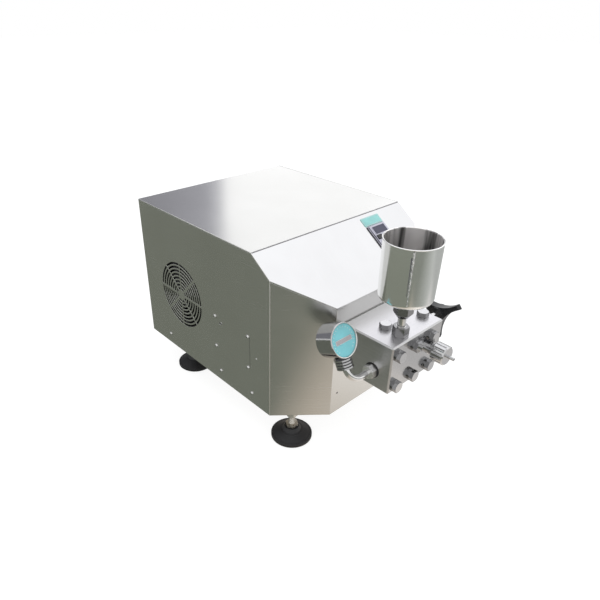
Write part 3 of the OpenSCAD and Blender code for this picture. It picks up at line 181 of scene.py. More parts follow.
def line_cup(material, centre, colour, rough):
    """Gives the cup's inner wall a satin finish with streaks down it, partly brushing and partly painted
    reflection, from very dark to full colour; its floor and outside stay polished.
    """
    tree = material.node_tree
    shader = tree.nodes["Principled BSDF"]
    coords = add(tree, "ShaderNodeTexCoord").outputs
    out = add(tree, "ShaderNodeVectorMath", {0: coords["Object"], 1: (*centre, 0.0)},
              operation="SUBTRACT").outputs[0]
    flat = add(tree, "ShaderNodeVectorMath", {0: out, 1: (1.0, 1.0, 0.0)}, operation="MULTIPLY").outputs[0]
    facing = add(tree, "ShaderNodeVectorMath", {0: flat, 1: coords["Normal"]},
                 operation="DOT_PRODUCT").outputs["Value"]
    inside = add(tree, "ShaderNodeMath", {0: facing, 1: -10.0 * MM}, operation="LESS_THAN").outputs[0]
    tree.links.new(value_mix(tree, inside, 1.0, 0.84), shader.inputs["Metallic"])
    streaks = stretched_noise(tree, (42.0, 42.0, 3.0), 3.0, 0.6)
    # Painted reflection over brushing: the wall's streaks run from a very dark tone to full colour, as dark
    # and bright reflected bands
    wall_brushing_and_sheen = colour_mix(tree, between(tree, streaks, -1.1, 2.1), tinted(colour, 0.16), colour)
    wall_rough = between(tree, streaks, rough - 0.06, rough + 0.06)
    for name, value, mix in (("Base Color", wall_brushing_and_sheen, colour_mix), ("Roughness", wall_rough, value_mix)):
        socket = shader.inputs[name]
        tree.links.new(mix(tree, inside, socket.links[0].from_socket, value), socket)


def faces_towards(tree, towards, limit):
    """1 where the surface looks along a direction, otherwise 0."""
    normal = add(tree, "ShaderNodeTexCoord").outputs["Normal"]
    facing = add(tree, "ShaderNodeVectorMath", {0: normal, 1: towards}, operation="DOT_PRODUCT")
    return add(tree, "ShaderNodeMath", {0: facing.outputs["Value"], 1: limit},
               operation="GREATER_THAN").outputs[0]


def tone_and_light_facing(material, towards, tone, marks=(30.0, 30.0, 30.0)):
    """Gives the faces that look along a direction another tone, with faint marks; used both as painted light
    on lit faces and as a face's own second colour.
    """
    tree = material.node_tree
    socket = tree.nodes["Principled BSDF"].inputs["Base Color"]
    noise = between(tree, stretched_noise(tree, marks, 3.0, 0.6), 0.0, 1.0)
    colour_and_light_tone = colour_mix(tree, noise, tinted(tone, 0.91), tone)
    facing = faces_towards(tree, towards, 0.95)
    tree.links.new(colour_mix(tree, facing, socket.links[0].from_socket, colour_and_light_tone), socket)


def dull_sides(material, polished, rough):
    """Makes all faces duller but those that look along a direction."""
    tree = material.node_tree
    socket = tree.nodes["Principled BSDF"].inputs["Roughness"]
    dull = between(tree, stretched_noise(tree, MILLED, 3.0, 0.6), rough - 0.05, rough + 0.05)
    facing = faces_towards(tree, polished, 0.9)
    tree.links.new(value_mix(tree, facing, dull, socket.links[0].from_socket), socket)


# Colours, and grains as features per metre along X, Y and Z
STEEL = (0.62, 0.62, 0.605)
PALE_GREY = (0.62, 0.61, 0.70)
EVEN = (260.0, 260.0, 260.0)
MILLED = (25.0, 900.0, 25.0)
AHEAD, UPWARD = (0.0, -1.0, 0.0), (0.0, 0.0, 1.0)
SLOPE_UP = (0.0, -math.sin(math.radians(SLOPE_ANGLE)), math.cos(math.radians(SLOPE_ANGLE)))

wall_steel = finish_metal("brushed_wall", STEEL, 0.25, (5.0, 5.0, 1100.0), 0.008, 0.02, 1.2, 0.4, 0.010)
lid_steel = finish_metal("brushed_lid", (0.66, 0.66, 0.655), 0.15, (1100.0, 5.0, 5.0), 0.008, 0.02, 1.2, 0.4,
                         0.010)
block_steel = finish_metal("milled_block", (0.52, 0.52, 0.525), 0.15, (420.0, 30.0, 420.0), 0.04, 0.04, 0.8)
bright_steel = finish_metal("polished_steel", (0.66, 0.66, 0.65), 0.16, EVEN, 0.02, 0.05, 0.4)
cup_steel = finish_metal("spun_cup", (0.87, 0.875, 0.86), 0.16, (14.0, 14.0, 800.0), 0.015, 0.03, 0.3, 0.0,
                         0.015)
weld_steel = finish_metal("weld_bead", (0.76, 0.76, 0.75), 0.26, (150.0, 150.0, 150.0), 0.15, 0.08, 0.2, 0.0,
                          0.80)
chrome = finish_metal("bright_chrome", (0.70, 0.70, 0.70), 0.07, (200.0, 200.0, 200.0), 0.01, 0.03, 0.5)
# Bolt heads and plugs: dark base tone, as painted shade on their sides; their lit faces are painted lighter
# further on
bolt_steel = finish_metal("bolt_steel", (0.24, 0.24, 0.245), 0.10, EVEN, 0.02, 0.04, 0.4)
plug_steel = finish_metal("plug_steel", (0.26, 0.26, 0.265), 0.10, EVEN, 0.02, 0.04, 0.4)
case_steel = finish_metal("case_steel", (0.44, 0.44, 0.445), 0.11, EVEN, 0.02, 0.04, 0.4)
satin_steel = finish_metal("satin_steel", (0.80, 0.80, 0.80), 0.36, EVEN, 0.02, 0.05, 0.4)
outlet_steel = finish_metal("outlet_steel", (0.56, 0.56, 0.565), 0.10, EVEN, 0.02, 0.04, 0.4)
dark_steel = finish_metal("dark_steel", (0.30, 0.30, 0.305), 0.20, (320.0, 320.0, 320.0), 0.05, 0.07, 0.5)
# Brighter satin for the painted highlights along the folded edges
edge_highlight_steel = finish_metal("edge_highlight_steel", (0.78, 0.78, 0.77), 0.34, (300.0, 300.0, 300.0), 0.02, 0.04, 0.2)
base_steel = finish_metal("base_steel", (0.50, 0.50, 0.49), 0.40, (5.0, 300.0, 300.0), 0.04, 0.06, 0.8)
bronze = finish_metal("bearing_bronze", (0.62, 0.42, 0.17), 0.30, (300.0, 300.0, 300.0), 0.03, 0.06, 0.3)
stud_steel = finish_metal("stud_steel", (0.60, 0.57, 0.52), 0.28, (220.0, 220.0, 220.0), 0.03, 0.06, 0.2)
rubber = finish_moulded("foot_rubber", (0.013, 0.013, 0.015), 0.52, 700.0, 0.12, 1.0)
belt_rubber = finish_moulded("belt_rubber", (0.018, 0.018, 0.018), 0.70, 500.0, 0.15, 0.5)
black_plastic = finish_moulded("black_plastic", (0.016, 0.016, 0.018), 0.42, 1100.0, 0.08, 0.6)
handle_plastic = finish_moulded("handle_plastic", (0.017, 0.018, 0.020), 0.34, 1300.0, 0.06, 1.4)
grey_plastic = finish_moulded("grey_plastic", (0.17, 0.17, 0.20), 0.40, 1200.0, 0.07, 0.6)
controller_plastic = finish_moulded("controller_plastic", (0.05, 0.05, 0.065), 0.40, 1200.0, 0.06, 0.4)
fan_plastic = finish_moulded("fan_plastic", (0.020, 0.020, 0.022), 0.50, 800.0, 0.08, 0.8)
paint = finish_moulded("machine_paint", (0.115, 0.145, 0.165), 0.38, 240.0, 0.10, 1.2, 0.2)
teal_print = finish_moulded("teal_print", (0.20, 0.62, 0.68), 0.36, 1500.0, 0.03, 0.2, 0.4)
plate_print = finish_moulded("plate_print", (0.27, 0.65, 0.62), 0.34, 1500.0, 0.03, 0.3, 0.4)
lcd = finish_moulded("grey_lcd", (0.42, 0.40, 0.42), 0.22, 1500.0, 0.01, 0.2, 0.4)
# Near black for the left panel's seam, and painted shade for holes and screw recesses
dark_seam_and_recess_shade = finish_moulded("dark_seam_and_recess_shade", (0.03, 0.03, 0.03), 0.55, 900.0, 0.05, 0.1)
# Dark grey for painted shade: in the fins' gaps and beside the cup's weld
shade_grey = finish_moulded("shade_grey", (0.10, 0.10, 0.11), 0.6, 900.0, 0.05, 0.1)
strip_grey = finish_moulded("strip_grey", (0.22, 0.21, 0.22), 0.6, 900.0, 0.05, 0.1)
pale_face = finish_moulded("pale_face", PALE_GREY, 0.38, 1200.0, 0.05, 0.2)
navy_screen = finish_moulded("navy_screen", (0.040, 0.040, 0.080), 0.30, 1500.0, 0.01, 0.2, 0.1)
pale_mark = finish_moulded("pale_mark", (0.72, 0.76, 0.75), 0.45, 900.0, 0.03, 0.1)

line_cup(cup_steel, (CUP_X * MM, CUP_Y * MM), (0.96, 0.94, 0.93), 0.37)
# Painted highlight: the block's top face gets a lighter tone, as if more lit, with its milling marks
tone_and_light_facing(block_steel, UPWARD, (0.68, 0.675, 0.69), MILLED)
dull_sides(block_steel, AHEAD, 0.36)
# Painted light: the bolt heads' front faces lighter than their sides, as lit and shaded faces
tone_and_light_facing(bolt_steel, AHEAD, (0.58, 0.58, 0.585), (200.0, 200.0, 200.0))
# Painted highlight: the plugs' tops lighter than their dark sides, as lit faces
tone_and_light_facing(plug_steel, UPWARD, (0.60, 0.60, 0.605), (200.0, 200.0, 200.0))
tone_and_light_facing(controller_plastic, SLOPE_UP, PALE_GREY)

# Finish of each material slot, and of the nodes that differ from their slot
FINISHES = {
    "casing_steel": wall_steel, "block_steel": block_steel, "polished_steel": bright_steel,
    "dark_steel": dark_steel, "base_steel": base_steel, "foot_rubber": rubber, "black_plastic": black_plastic,
    "handle_plastic": handle_plastic, "grey_plastic": grey_plastic, "display": navy_screen,
    "dial_teal": teal_print, "machine_paint": paint, "bearing_bronze": bronze, "belt_rubber": belt_rubber,
    "fan_plastic": fan_plastic,
}
SPECIAL = {
    "top_panel": lid_steel, "hopper_cup": cup_steel, "block_bolts": bolt_steel, "valve_bonnet": bolt_steel,
    "outlet_neck": outlet_steel, "outlet_lock_nut": outlet_steel, "outlet_nozzle": outlet_steel,
    "top_plugs": plug_steel, "gauge_tube": chrome, "gauge_case": case_steel, "gauge_tube_nut": satin_steel,
    "controller_housing": controller_plastic,
}
node_slots = {entry["node"]: entry["material_slot"] for entry in frame["record"]["subparts"]}
for name, obj in nodes.items():
    material = SPECIAL.get(name) or FINISHES[node_slots[name]]
    obj.data.materials.clear()
    obj.data.materials.append(material)


# Mesh pieces: points in millimetres, and faces

def piece(name, vertices, faces, body, material, slot, place=None, smooth=30.0):
    """New mesh piece from points in millimetres, set in place and riding on a body."""
    place = place or Matrix.Identity(4)
    mesh = bpy.data.meshes.new(name)
    mesh.from_pydata([(place @ Vector(v)) * MM for v in vertices], [], faces)
    mesh.validate()
    mesh.update()
    if smooth:
        mesh.shade_smooth()
        mesh.set_sharp_from_angle(angle=math.radians(smooth))
    mesh.materials.append(material)
    made = bpy.data.objects.new(name, mesh)
    scene.collection.objects.link(made)
    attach(made, body)
    return made


def lathe(profile, steps=72):
    """Points and faces of a closed profile of (radius, height) turned round Z."""
    count = len(profile)
    points = [(r * math.cos(a), r * math.sin(a), z) for a in (2 * math.pi * i / steps for i in range(steps))
              for r, z in profile]
    faces = [(i * count + k, ((i + 1) % steps) * count + k, ((i + 1) % steps) * count + (k + 1) % count,
              i * count + (k + 1) % count) for i in range(steps) for k in range(count)]
    return points, faces


def rounded_outline(w, l, corner, steps=6):
    spots = [(w / 2 - corner, l / 2 - corner, 0), (corner - w / 2, l / 2 - corner, 90),
             (corner - w / 2, corner - l / 2, 180), (w / 2 - corner, corner - l / 2, 270)]
    return [(x + corner * math.cos(math.radians(a + 90 * i / steps)),
             y + corner * math.sin(math.radians(a + 90 * i / steps)))
            for x, y, a in spots for i in range(steps + 1)]


def rounded_plate(w, l, t, corner, bevel):
    """Plate on Z = 0 with round corners and a bevelled upper edge."""
    full = rounded_outline(w, l, corner)
    upper = rounded_outline(w - 2 * bevel, l - 2 * bevel, max(corner - bevel, 0.1))
    count = len(full)
    points = [(x, y, z) for z in (0, t - bevel) for x, y in full] + [(x, y, t) for x, y in upper]
    faces = [tuple(range(count - 1, -1, -1)), tuple(range(2 * count, 3 * count))]
    for low in (0, count):
        faces += [(low + i, low + (i + 1) % count, low + count + (i + 1) % count, low + count + i)
                  for i in range(count)]
    return points, faces


def rounded_frame(w, l, t, rail, corner):
    """Raised frame on Z = 0 with an open middle."""
    outer = rounded_outline(w, l, corner)
    inner = rounded_outline(w - 2 * rail, l - 2 * rail, max(corner - rail, 0.2))
    count = len(outer)
    loops = [[(x, y, 0) for x, y in outer], [(x, y, t) for x, y in outer],
             [(x, y, t) for x, y in inner], [(x, y, 0) for x, y in inner]]
    points = [p for loop in loops for p in loop]
    faces = [(k * count + i, k * count + (i + 1) % count, ((k + 1) % 4) * count + (i + 1) % count,
              ((k + 1) % 4) * count + i) for k in range(4) for i in range(count)]
    return points, faces


def merged(parts):
    """Several (points, faces, matrix) as one set of points and faces."""
    points, faces = [], []
    for some, sides, place in parts:
        start = len(points)
        points += [tuple(place @ Vector(p)) for p in some]
        faces += [tuple(start + i for i in side) for side in sides]
    return points, faces


def at(x, y, z):
    return Matrix.Translation((x, y, z))


def turn(degrees, axis):
    return Matrix.Rotation(math.radians(degrees), 4, axis)


def on_slope(x, down):
    """Place on the slope, at a distance down from the lid's fold."""
    return at(0, SLOPE_BACK, TOP_Z) @ turn(SLOPE_ANGLE, "X") @ at(x, -down, 0)


def on_controller(down):
    """Place on the controller's face, at a distance down from the lid's fold."""
    return on_slope(CONTROLLER_X, down) @ at(0, 0, CONTROLLER_FACE)


# Bare printed plate above the controller, with a raised border
plate = on_slope(CONTROLLER_X, 20)
piece("slope_plate", *rounded_plate(53, 20, 0.9, 2.0, 0.3), "root", plate_print, "dial_teal", plate)
piece("slope_plate_border", *rounded_frame(50.4, 17.4, 0.25, 0.7, 1.4), "root", pale_mark, "dial_teal",
      plate @ at(0, 0, 0.85))

# Thin grey strip along the lid's fold
piece("fold_strip", *rounded_plate(399, 1.8, 0.25, 0.4, 0.1), "root", strip_grey, "casing_steel",
      on_slope(0, 1.3))

# Controller: window frame, two lamps and a dividing rib between display and keys
piece("display_bezel", *rounded_frame(38.6, 19.6, 0.9, 1.5, 1.6), "root", pale_face, "grey_plastic",
      on_controller(44.5))
lamp = lathe([(0.05, 0.0), (1.3, 0.0), (1.3, 0.35), (0.9, 0.8), (0.05, 0.95)], 24)
piece("controller_lamps", *merged([(*lamp, at(x, 0, 0)) for x in (-15.5, -11.5)]), "root", pale_mark,
      "grey_plastic", on_controller(55.2))
piece("controller_rib", *rounded_plate(41, 0.8, 0.5, 0.35, 0.15), "root", pale_face, "grey_plastic",
      on_controller(68.5))

# Gauge: window with its frame, ring of marks and bezel on the leaning dial
dial_low, dial_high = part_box("gauge_dial")
gauge_x = (dial_low.x + dial_high.x) / 2 / MM
stem = at(gauge_x, GAUGE_Y, GAUGE_Z) @ turn(-GAUGE_LEAN, "X") @ at(0, 0, TUBE_BEND)
dial = stem @ at(0, -DIAL_AHEAD, GAUGE_STEM) @ turn(90, "X")
piece("gauge_window", *rounded_plate(36, 7, 0.6, 0.8, 0.2), "root", lcd, "display", dial)
piece("gauge_window_frame", *rounded_frame(37, 8, 0.7, 0.5, 1.2), "root", pale_mark, "grey_plastic", dial)
mark = rounded_plate(0.7, 2.6, 0.15, 0.3, 0.05)
piece("gauge_marks", *merged([(*mark, turn(a, "Z") @ at(0, 22.3, 0)) for a in range(-135, 136, 15)]), "root",
      pale_mark, "dial_teal", dial)
piece("gauge_bezel", *lathe([(26.9, 0.2), (27.4, 0.2), (28.9, 1.9), (29.2, 2.3), (28.8, 2.7), (27.7, 2.4),
                             (26.9, 1.0)], 96), "root", bright_steel, "polished_steel", dial)

# Painted shade: dark rings set in the gaps between the fins of the gauge's socket
FIN_PITCH = 4.75
gap_shade_ring = lathe([(9.9, 3.0), (12.4, 3.0), (12.4, 4.6), (9.9, 4.6)], 64)
piece("fin_gap_shade", *merged([(*gap_shade_ring, at(0, 0, FIN_PITCH * i)) for i in range(4)]), "root", shade_grey,
      "polished_steel", stem)

# Dark ring between the block and the tube's nut, shaped as a seal: painted shade round the nut
block_low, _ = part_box("pump_block")
nut_low, nut_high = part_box("gauge_tube_nut")
nut_sizes = ((nut_high.z - nut_low.z) / MM, (nut_high.y - nut_low.y) / MM)
shade_ring_r = max(nut_sizes) / 2 + 1.6
shade_ring_hole = min(nut_sizes) / 2 - 0.4
piece("nut_shade_ring", *lathe([(shade_ring_hole, 0.0), (shade_ring_r, 0.0), (shade_ring_r, 0.8), (shade_ring_r - 0.5, 1.3),
                           (shade_ring_hole, 1.3)], 64),
      "root", rubber, "foot_rubber", at(block_low.x / MM, GAUGE_Y, GAUGE_Z) @ turn(-90, "Y"))


def cup_radius(z):
    """Outer radius of the cup at a height above its base, on its tapered wall."""
    return CUP_WALL_R + CUP_FLARE * (z - CUP_WALL_LOW) / CUP_WALL


def weld(width, proud, low, high, rows):
    """Uneven bead up the cup's wall, narrow below and broad above."""
    points, faces = [], []
    for i in range(rows + 1):
        z = low + (high - low) * i / rows
        r = cup_radius(z)
        wave = 0.25 * math.sin(i * 1.9) + 0.2 * math.sin(i * 0.7)
        ridge = proud * (0.75 + 0.25 * math.sin(i * 2.3))
        half = width / 2 * (0.35 + 0.65 * i / rows)
        for side, out in ((-1.0, -0.1), (-0.5, 0.7 * ridge), (0.0, ridge), (0.5, 0.7 * ridge), (1.0, -0.1)):
            a = (side * half + wave) / r
            points.append(((r + out) * math.cos(a), (r + out) * math.sin(a), z))
    for i in range(rows):
        faces += [(i * 5 + k, i * 5 + k + 1, (i + 1) * 5 + k + 1, (i + 1) * 5 + k) for k in range(4)]
    return points, faces


# Weld seam down the cup, on the side that faces the photograph's camera, with a dark strip beside it: painted
# shade along the bead's left edge
cup_low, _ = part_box("hopper_cup")
seam_angle = math.degrees(math.atan2(CAMERA_PLACE[1] - CUP_Y * MM, CAMERA_PLACE[0] - CUP_X * MM)) + 5
seam = at(CUP_X, CUP_Y, cup_low.z / MM) @ turn(seam_angle, "Z")
piece("cup_weld", *weld(3.8, 0.9, 9.5, 103.0, 140), "root", weld_steel, "polished_steel", seam)
piece("cup_weld_shade", *weld(2.6, 0.14, 26.0, 92.0, 100), "root", shade_grey, "polished_steel",
      seam @ turn(-3.2, "Z"))

# Cross recesses in the screw heads, each turned by another angle, as flat dark crosses: painted shade in the
# recesses
cross_points = []
for i in range(4):
    corner = turn(90 * i, "Z")
    cross_points += [tuple(corner @ Vector(p))
                     for p in ((0.45, 0.45, 0.06), (1.9, 0.45, 0.06), (1.9, -0.45, 0.06))]
cross = (cross_points, [(0, 3, 6, 9), (0, 1, 2, 9), (3, 4, 5, 0), (6, 7, 8, 3), (9, 10, 11, 6)])
side_spots = [(side, FRONT_Y + d, LOW_SCREWS_Z) for side in (-1, 1) for d in LOW_SCREWS_BACK]
side_spots += [(-1, FRONT_Y + FOUR_SCREWS_BACK + d, FOUR_SCREWS_Z + z)
               for d in (-FOUR_SCREWS_HALF_L, FOUR_SCREWS_HALF_L)
               for z in (-FOUR_SCREWS_HALF_H, FOUR_SCREWS_HALF_H)]
rear_spots = [(x, BASE_Z + (TOP_Z - BASE_Z) * share) for x in (-REAR_SCREWS_X, REAR_SCREWS_X)
              for share in REAR_SCREWS_UP]
crosses = [(*cross, at(side * (HALF_W + SCREW_HEAD), y, z) @ turn(90 * side, "Y") @ turn(17 * i, "Z"))
           for i, (side, y, z) in enumerate(side_spots)]
crosses += [(*cross, at(x, REAR_Y + SCREW_HEAD, z) @ turn(-90, "X") @ turn(23 * i, "Z"))
            for i, (x, z) in enumerate(rear_spots)]
piece("screw_recess_shade", *merged(crosses), "root", dark_seam_and_recess_shade, "polished_steel", smooth=0)


def bead(route, r, sides=8):
    """Closed round bead along a route of points in a plane across X."""
    sideways = Vector((1, 0, 0))
    points, faces = [], []
    for i, spot in enumerate(route):
        ahead = Vector(route[min(i + 1, len(route) - 1)]) - Vector(route[max(i - 1, 0)])
        across = ahead.cross(sideways).normalized()
        for k in range(sides):
            a = 2 * math.pi * k / sides
            points.append(tuple(Vector(spot) + sideways * (r * math.cos(a)) + across * (r * math.sin(a))))
    for i in range(len(route) - 1):
        faces += [(i * sides + k, i * sides + (k + 1) % sides, (i + 1) * sides + (k + 1) % sides,
                   (i + 1) * sides + k) for k in range(sides)]
    last = (len(route) - 1) * sides
    faces += [tuple(range(sides - 1, -1, -1)), tuple(range(last, last + sides))]
    return points, faces


# Bright round beads on the casing's folded edges, along the lid, the slope and the cut corner: rounded folds
# with a painted highlight in their brighter finish
SUNK = 0.3
for name, x in (("left", -HALF_W + SUNK), ("right", HALF_W - SUNK)):
    edge_route = [(x, REAR_Y - 0.6, TOP_Z - SUNK), (x, SLOPE_BACK, TOP_Z - SUNK),
                  (x, CORNER_Y + SUNK, CORNER_Z - SUNK), (x, CORNER_Y + SUNK, BASE_Z + 0.6)]
    piece(f"folded_edge_highlight_{name}", *bead(edge_route, 0.75), "root", edge_highlight_steel, "casing_steel")

# Left panel: a fine seam, a bright rivet and a bushed hole; front panel: a small hole. The holes are flat dark
# discs: painted shade inside them.
rivet = lathe([(0.05, -0.2), (2.4, -0.2), (2.4, 0.3), (1.6, 1.0), (0.05, 1.2)], 24)
hole = lathe([(0.05, -0.2), (2.0, -0.2), (2.0, 0.06), (0.05, 0.06)], 24)
bushing = lathe([(2.2, -0.2), (3.1, -0.2), (3.1, 0.2), (2.7, 0.5), (2.2, 0.3)], 32)
bushed = at(-HALF_W, 39.0, 198.8) @ turn(-90, "Y")
piece("panel_seam", *rounded_plate(0.7, 68, 0.12, 0.3, 0.04), "root", dark_seam_and_recess_shade, "casing_steel",
      at(-HALF_W, -46.9, 175) @ turn(-90, "Y") @ turn(90, "Z"))
piece("panel_rivet", *rivet, "root", bright_steel, "polished_steel",
      at(-HALF_W, -65.6, 170.4) @ turn(-90, "Y"))
piece("side_hole_shade", *hole, "root", dark_seam_and_recess_shade, "casing_steel", bushed)
piece("side_bushing", *bushing, "root", bright_steel, "polished_steel", bushed)
piece("front_hole_shade", *hole, "root", dark_seam_and_recess_shade, "casing_steel", at(-96, FRONT_Y, 103.7) @ turn(90, "X"))


def threaded_rod(crest, depth, pitch, low, high, steps=36, per_turn=8):
    """Closed rod along Z with a screw thread cut into it."""
    rows = int((high - low) / pitch * per_turn)
    points = []
    for i in range(rows + 1):
        z = low + (high - low) * i / rows
        end = min(1.0, i / per_turn, (rows - i) / per_turn)
        for k in range(steps):
            a = 2 * math.pi * k / steps
            wave = abs(2 * ((z / pitch - k / steps) % 1.0) - 1)
            r = crest - depth * min(1.0, max(0.0, 1.6 * wave - 0.3)) - depth * (1 - end)
            points.append((r * math.cos(a), r * math.sin(a), z))
    faces = [(i * steps + k, i * steps + (k + 1) % steps, (i + 1) * steps + (k + 1) % steps,
              (i + 1) * steps + k) for i in range(rows) for k in range(steps)]
    faces += [tuple(range(steps - 1, -1, -1)), tuple(range(rows * steps, (rows + 1) * steps))]
    return points, faces


def hexagon(flats, low, high, bevel):
    """Closed hexagon along Z with its corners taken off at both ends."""
    corner = flats / math.sqrt(3)
    return lathe([(0.05, low), (corner - 2 * bevel, low), (corner, low + bevel), (corner, high - bevel),
                  (corner - 2 * bevel, high), (0.05, high)], 6)


# Studs with their thread, in place of the plain ones
here = at(0, 0, 0)
rod = threaded_rod(6.95, 0.8, 2.0, 16.0, 90.0)
collar = hexagon(22, 24.3, 31.3, 0.9)
for foot, (x, y) in FEET.items():
    stud = piece(f"threaded_stud_{foot}", *merged([(*rod, here), (*collar, here)]), f"foot_{foot}", stud_steel,
                 "polished_steel", at(x, y, 0))
    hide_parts(f"foot_stud_{foot}")

# Raised rings moulded on each foot pad
step = lathe([(20.0, 16.2), (21.6, 16.6), (22.6, 16.1), (23.0, 15.2), (20.0, 15.2)], 64)
rim = lathe([(35.6, 8.2), (36.2, 9.0), (37.4, 9.0), (38.0, 8.2), (37.4, 7.6), (36.2, 7.6)], 72)
for foot, (x, y) in FEET.items():
    piece(f"pad_rings_{foot}", *merged([(*step, here), (*rim, here)]), f"foot_{foot}", rubber, "foot_rubber",
          at(x, y, 0))

# Grip ribs on the cable gland's dome nut
gland_low, gland_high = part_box("cable_gland")
gland_x, gland_z = (gland_low.x + gland_high.x) / 2 / MM, (gland_low.z + gland_high.z) / 2 / MM
rib = rounded_plate(1.2, 8.4, 0.7, 0.5, 0.2)
piece("gland_ribs", *merged([(*rib, turn(a, "Z") @ at(10.9, 0, 13.0) @ turn(90, "Y") @ turn(90, "Z"))
                             for a in range(0, 360, 20)]), "root", black_plastic, "black_plastic",
      at(gland_x, REAR_Y, gland_z) @ turn(-90, "X"))


def helix(r_root, r_crest, pitch, length, steps=40):
    """Open thread along Z that fades out at both ends."""
    points, faces = [], []
    total = int(length / pitch * steps)
    for i in range(total + 1):
        a = 2 * math.pi * i / steps
        z = length * i / total
        fade = min(1.0, i / steps * 2, (total - i) / steps * 2)
        crest = r_root + (r_crest - r_root) * fade
        for r, dz in ((r_root - 0.05, -pitch * 0.42), (crest, -pitch * 0.08), (crest, pitch * 0.08),
                      (r_root - 0.05, pitch * 0.42)):
            points.append((r * math.cos(a), r * math.sin(a), z + dz))
    for i in range(total):
        faces += [(i * 4 + k, i * 4 + k + 1, (i + 1) * 4 + k + 1, (i + 1) * 4 + k) for k in range(3)]
    return points, faces


# Thread showing on the outlet's neck, between the block and the lock nut
piece("outlet_thread", *helix(11.0, 11.7, 1.5, 8.5), "root", outlet_steel, "polished_steel",
      at(OUTLET_X, block_low.y / MM, VALVE_Z) @ turn(90, "X") @ at(0, 0, 5.2))

# Camera at the photograph's place
azimuth, height, roll = (math.radians(v) for v in (-42.3927, 29.6661, 0.5133))
back = Vector((math.sin(azimuth) * math.cos(height), -math.cos(azimuth) * math.cos(height), math.sin(height)))
right = Vector((math.cos(azimuth), math.sin(azimuth), 0))
up = back.cross(right)
rolled_right = right * math.cos(roll) + up * math.sin(roll)
rolled_up = up * math.cos(roll) - right * math.sin(roll)
axes = Matrix((rolled_right, rolled_up, back)).transposed().to_4x4()
camera = bpy.data.objects.new("camera", bpy.data.cameras.new("camera"))
camera.matrix_world = Matrix.Translation(CAMERA_PLACE) @ axes
camera.data.sensor_width = 36.0
camera.data.lens = 32.465
camera.data.shift_x = 0.03976
camera.data.shift_y = 0.0109
camera.data.clip_start, camera.data.clip_end = 0.01, 100.0
scene.collection.objects.link(camera)
scene.camera = camera


# Floor, cards and light, in metres

def one_face(name, corners):
    mesh = bpy.data.meshes.new(name)
    mesh.from_pydata(corners, [], [(0, 1, 2, 3)])
    made = bpy.data.objects.new(name, mesh)
    scene.collection.objects.link(made)
    return made


def level_plane(name, x0, y0, x1, y1, z):
    made = one_face(name, [(x0, y0, z), (x1, y0, z), (x1, y1, z), (x0, y1, z)])
    return made


def upright_plane(name, x0, x1, z0, z1, y):
    made = one_face(name, [(x0, y, z0), (x1, y, z0), (x1, y, z1), (x0, y, z1)])
    return made


def seen_directly(tree):
    """1 for rays from the camera and for mirror and glass rays, otherwise 0."""
    path = add(tree, "ShaderNodeLightPath").outputs
    first = add(tree, "ShaderNodeMath", {0: path["Is Camera Ray"], 1: path["Is Glossy Ray"]},
                operation="MAXIMUM").outputs[0]
    return add(tree, "ShaderNodeMath", {0: first, 1: path["Is Transmission Ray"]},
               operation="MAXIMUM").outputs[0]


def bare_material(name):
    """Material without any node, and its tree."""
    made = bpy.data.materials.new(name)
    made.use_nodes = True
    made.node_tree.nodes.clear()
    return made, made.node_tree


# Floor: close to white where it is seen or mirrored, with a soft shadow under the machine
floor = level_plane("floor", -12, -12, 12, 12, -0.0005)
floor_paint, tree = bare_material("pale_floor")
plain = add(tree, "ShaderNodeBsdfDiffuse", {"Color": (0.80, 0.80, 0.80, 1)}).outputs[0]
faint = add(tree, "ShaderNodeBsdfDiffuse", {"Color": (0.28, 0.28, 0.28, 1)}).outputs[0]
glow = add(tree, "ShaderNodeEmission", {"Color": (0.86, 0.86, 0.86, 1), "Strength": 1.0}).outputs[0]
white = add(tree, "ShaderNodeAddShader", {0: faint, 1: glow}).outputs[0]
mixed = add(tree, "ShaderNodeMixShader", {0: seen_directly(tree), 1: plain, 2: white}).outputs[0]
add(tree, "ShaderNodeOutputMaterial", {"Surface": mixed})
floor.data.materials.append(floor_paint)


def shade_card(name, made, colour_of):
    """Hides a plane from all but mirror rays and gives it an emission from its own coordinates."""
    card_paint, tree = bare_material(name)
    place = add(tree, "ShaderNodeTexCoord").outputs["Object"]
    along = add(tree, "ShaderNodeSeparateXYZ", {0: place}).outputs
    light = add(tree, "ShaderNodeEmission", {"Color": colour_of(tree, along), "Strength": 1.0}).outputs[0]
    add(tree, "ShaderNodeOutputMaterial", {"Surface": light})
    made.data.materials.append(card_paint)
    made.visible_camera = False
    made.visible_diffuse = False
    made.visible_transmission = False
    made.visible_shadow = False


def share_of(tree, value, low, high):
    """Where a value stands in its range, from 0 to 1."""
    return add(tree, "ShaderNodeMapRange", {"Value": value, "From Min": low,
                                            "From Max": high}).outputs["Result"]


def ramp_of(tree, value, low, high, stops):
    """Colour ramp over a value's range, from (position, colour) stops."""
    made = add(tree, "ShaderNodeValToRGB", {"Fac": share_of(tree, value, low, high)})
    elements = made.color_ramp.elements
    while len(elements) < len(stops):
        elements.new(0.5)
    for element, (position, colour) in zip(elements, stops):
        element.position, element.color = position, (*colour, 1.0)
    return made.outputs["Color"]


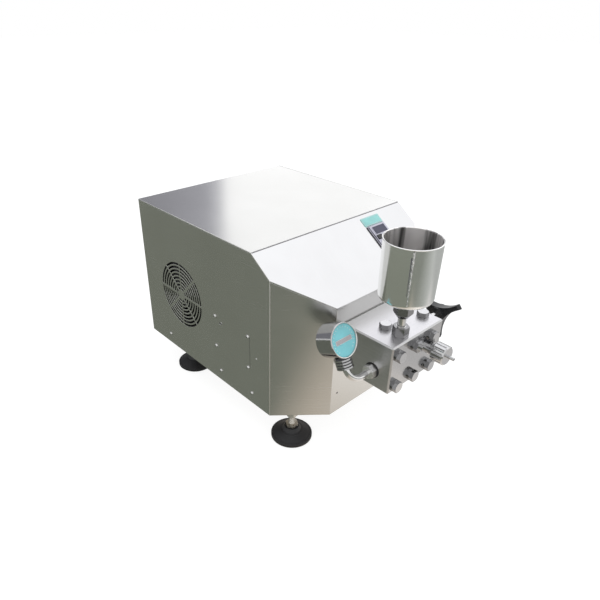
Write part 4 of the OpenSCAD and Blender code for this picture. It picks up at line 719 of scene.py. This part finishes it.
def floor_card_colour(tree, along):
    """Dark olive at the left and far ahead, beige and then pale towards the right, grey beyond."""
    slant = add(tree, "ShaderNodeMath", {0: along["Y"], 1: -0.35, 2: -0.07},
                operation="MULTIPLY_ADD").outputs[0]
    across = add(tree, "ShaderNodeMath", {0: along["X"], 1: slant}, operation="ADD").outputs[0]
    near = ramp_of(tree, across, -0.42, 0.40,
                   [(0.178, (0.23, 0.245, 0.205)), (0.29, (0.66, 0.59, 0.50)), (0.626, (1.04, 0.985, 0.93)),
                    (0.73, (1.04, 0.985, 0.93)), (0.88, (0.74, 0.725, 0.715))])
    far = ramp_of(tree, along["X"], -0.4, 0.6,
                  [(0.1, (0.24, 0.255, 0.225)), (0.5, (0.40, 0.415, 0.39)), (1.0, (0.62, 0.63, 0.62))])
    ahead = colour_mix(tree, share_of(tree, along["Y"], -0.70, -0.86), near, far)
    return colour_mix(tree, share_of(tree, along["X"], 0.42, 0.60), ahead, (0.46, 0.47, 0.46))


def back_card_colour(tree, along):
    """Grey at the left for the dull far corner of the lid, then bright, and fading at the right."""
    return ramp_of(tree, along["X"], 1.2, 6.0,
                   [(0.0, (0.33, 0.33, 0.36)), (0.133, (0.47, 0.47, 0.51)), (0.160, (0.74, 0.74, 0.78)),
                    (0.179, (1.35, 1.35, 1.35)), (0.73, (1.35, 1.35, 1.35)), (0.98, (1.0, 1.0, 1.0))])


# Cards that only the metal sees: they give the steel the tones that it has in the photograph
shade_card("floor_card", level_plane("floor_card", -3.0, -2.6, 1.6, 2.0, 0.0002), floor_card_colour)
shade_card("back_card", upright_plane("back_card", -3.0, 6.0, 0.2, 3.2, 3.0), back_card_colour)

# Surround: white where it is seen or mirrored, a little dimmer as light
world = bpy.data.worlds.new("studio")
world.use_nodes = True
scene.world = world
tree = world.node_tree
tree.nodes.clear()
soft = add(tree, "ShaderNodeBackground", {"Color": (0.98, 0.99, 1.0, 1), "Strength": 0.88}).outputs[0]
white = add(tree, "ShaderNodeBackground", {"Color": (1, 1, 1, 1), "Strength": 1.0}).outputs[0]
mixed = add(tree, "ShaderNodeMixShader", {0: seen_directly(tree), 1: soft, 2: white}).outputs[0]
add(tree, "ShaderNodeOutputWorld", {"Surface": mixed})


def softbox(name, place, aim, w, h, radiance, colour=(1, 1, 1)):
    """Rectangular lamp of an even brightness, where 1 is the white of the background."""
    data = bpy.data.lights.new(name, "AREA")
    data.shape = "RECTANGLE"
    data.size, data.size_y = w, h
    data.energy = radiance * math.pi * w * h
    data.color = colour
    made = bpy.data.objects.new(name, data)
    made.location = place
    made.rotation_mode = "QUATERNION"
    made.rotation_quaternion = (Vector(aim) - Vector(place)).to_track_quat("-Z", "Y")
    made.visible_camera = False
    scene.collection.objects.link(made)


softbox("overhead", (0.95, 0.0, 1.75), (0.1, -0.05, 0.3), 2.2, 2.4, 0.47, (0.90, 0.91, 1.0))
softbox("front_right", (1.5, -1.5, 1.0), (0.0, -0.1, 0.2), 1.0, 1.2, 0.42)

scene.view_settings.view_transform = "Standard"
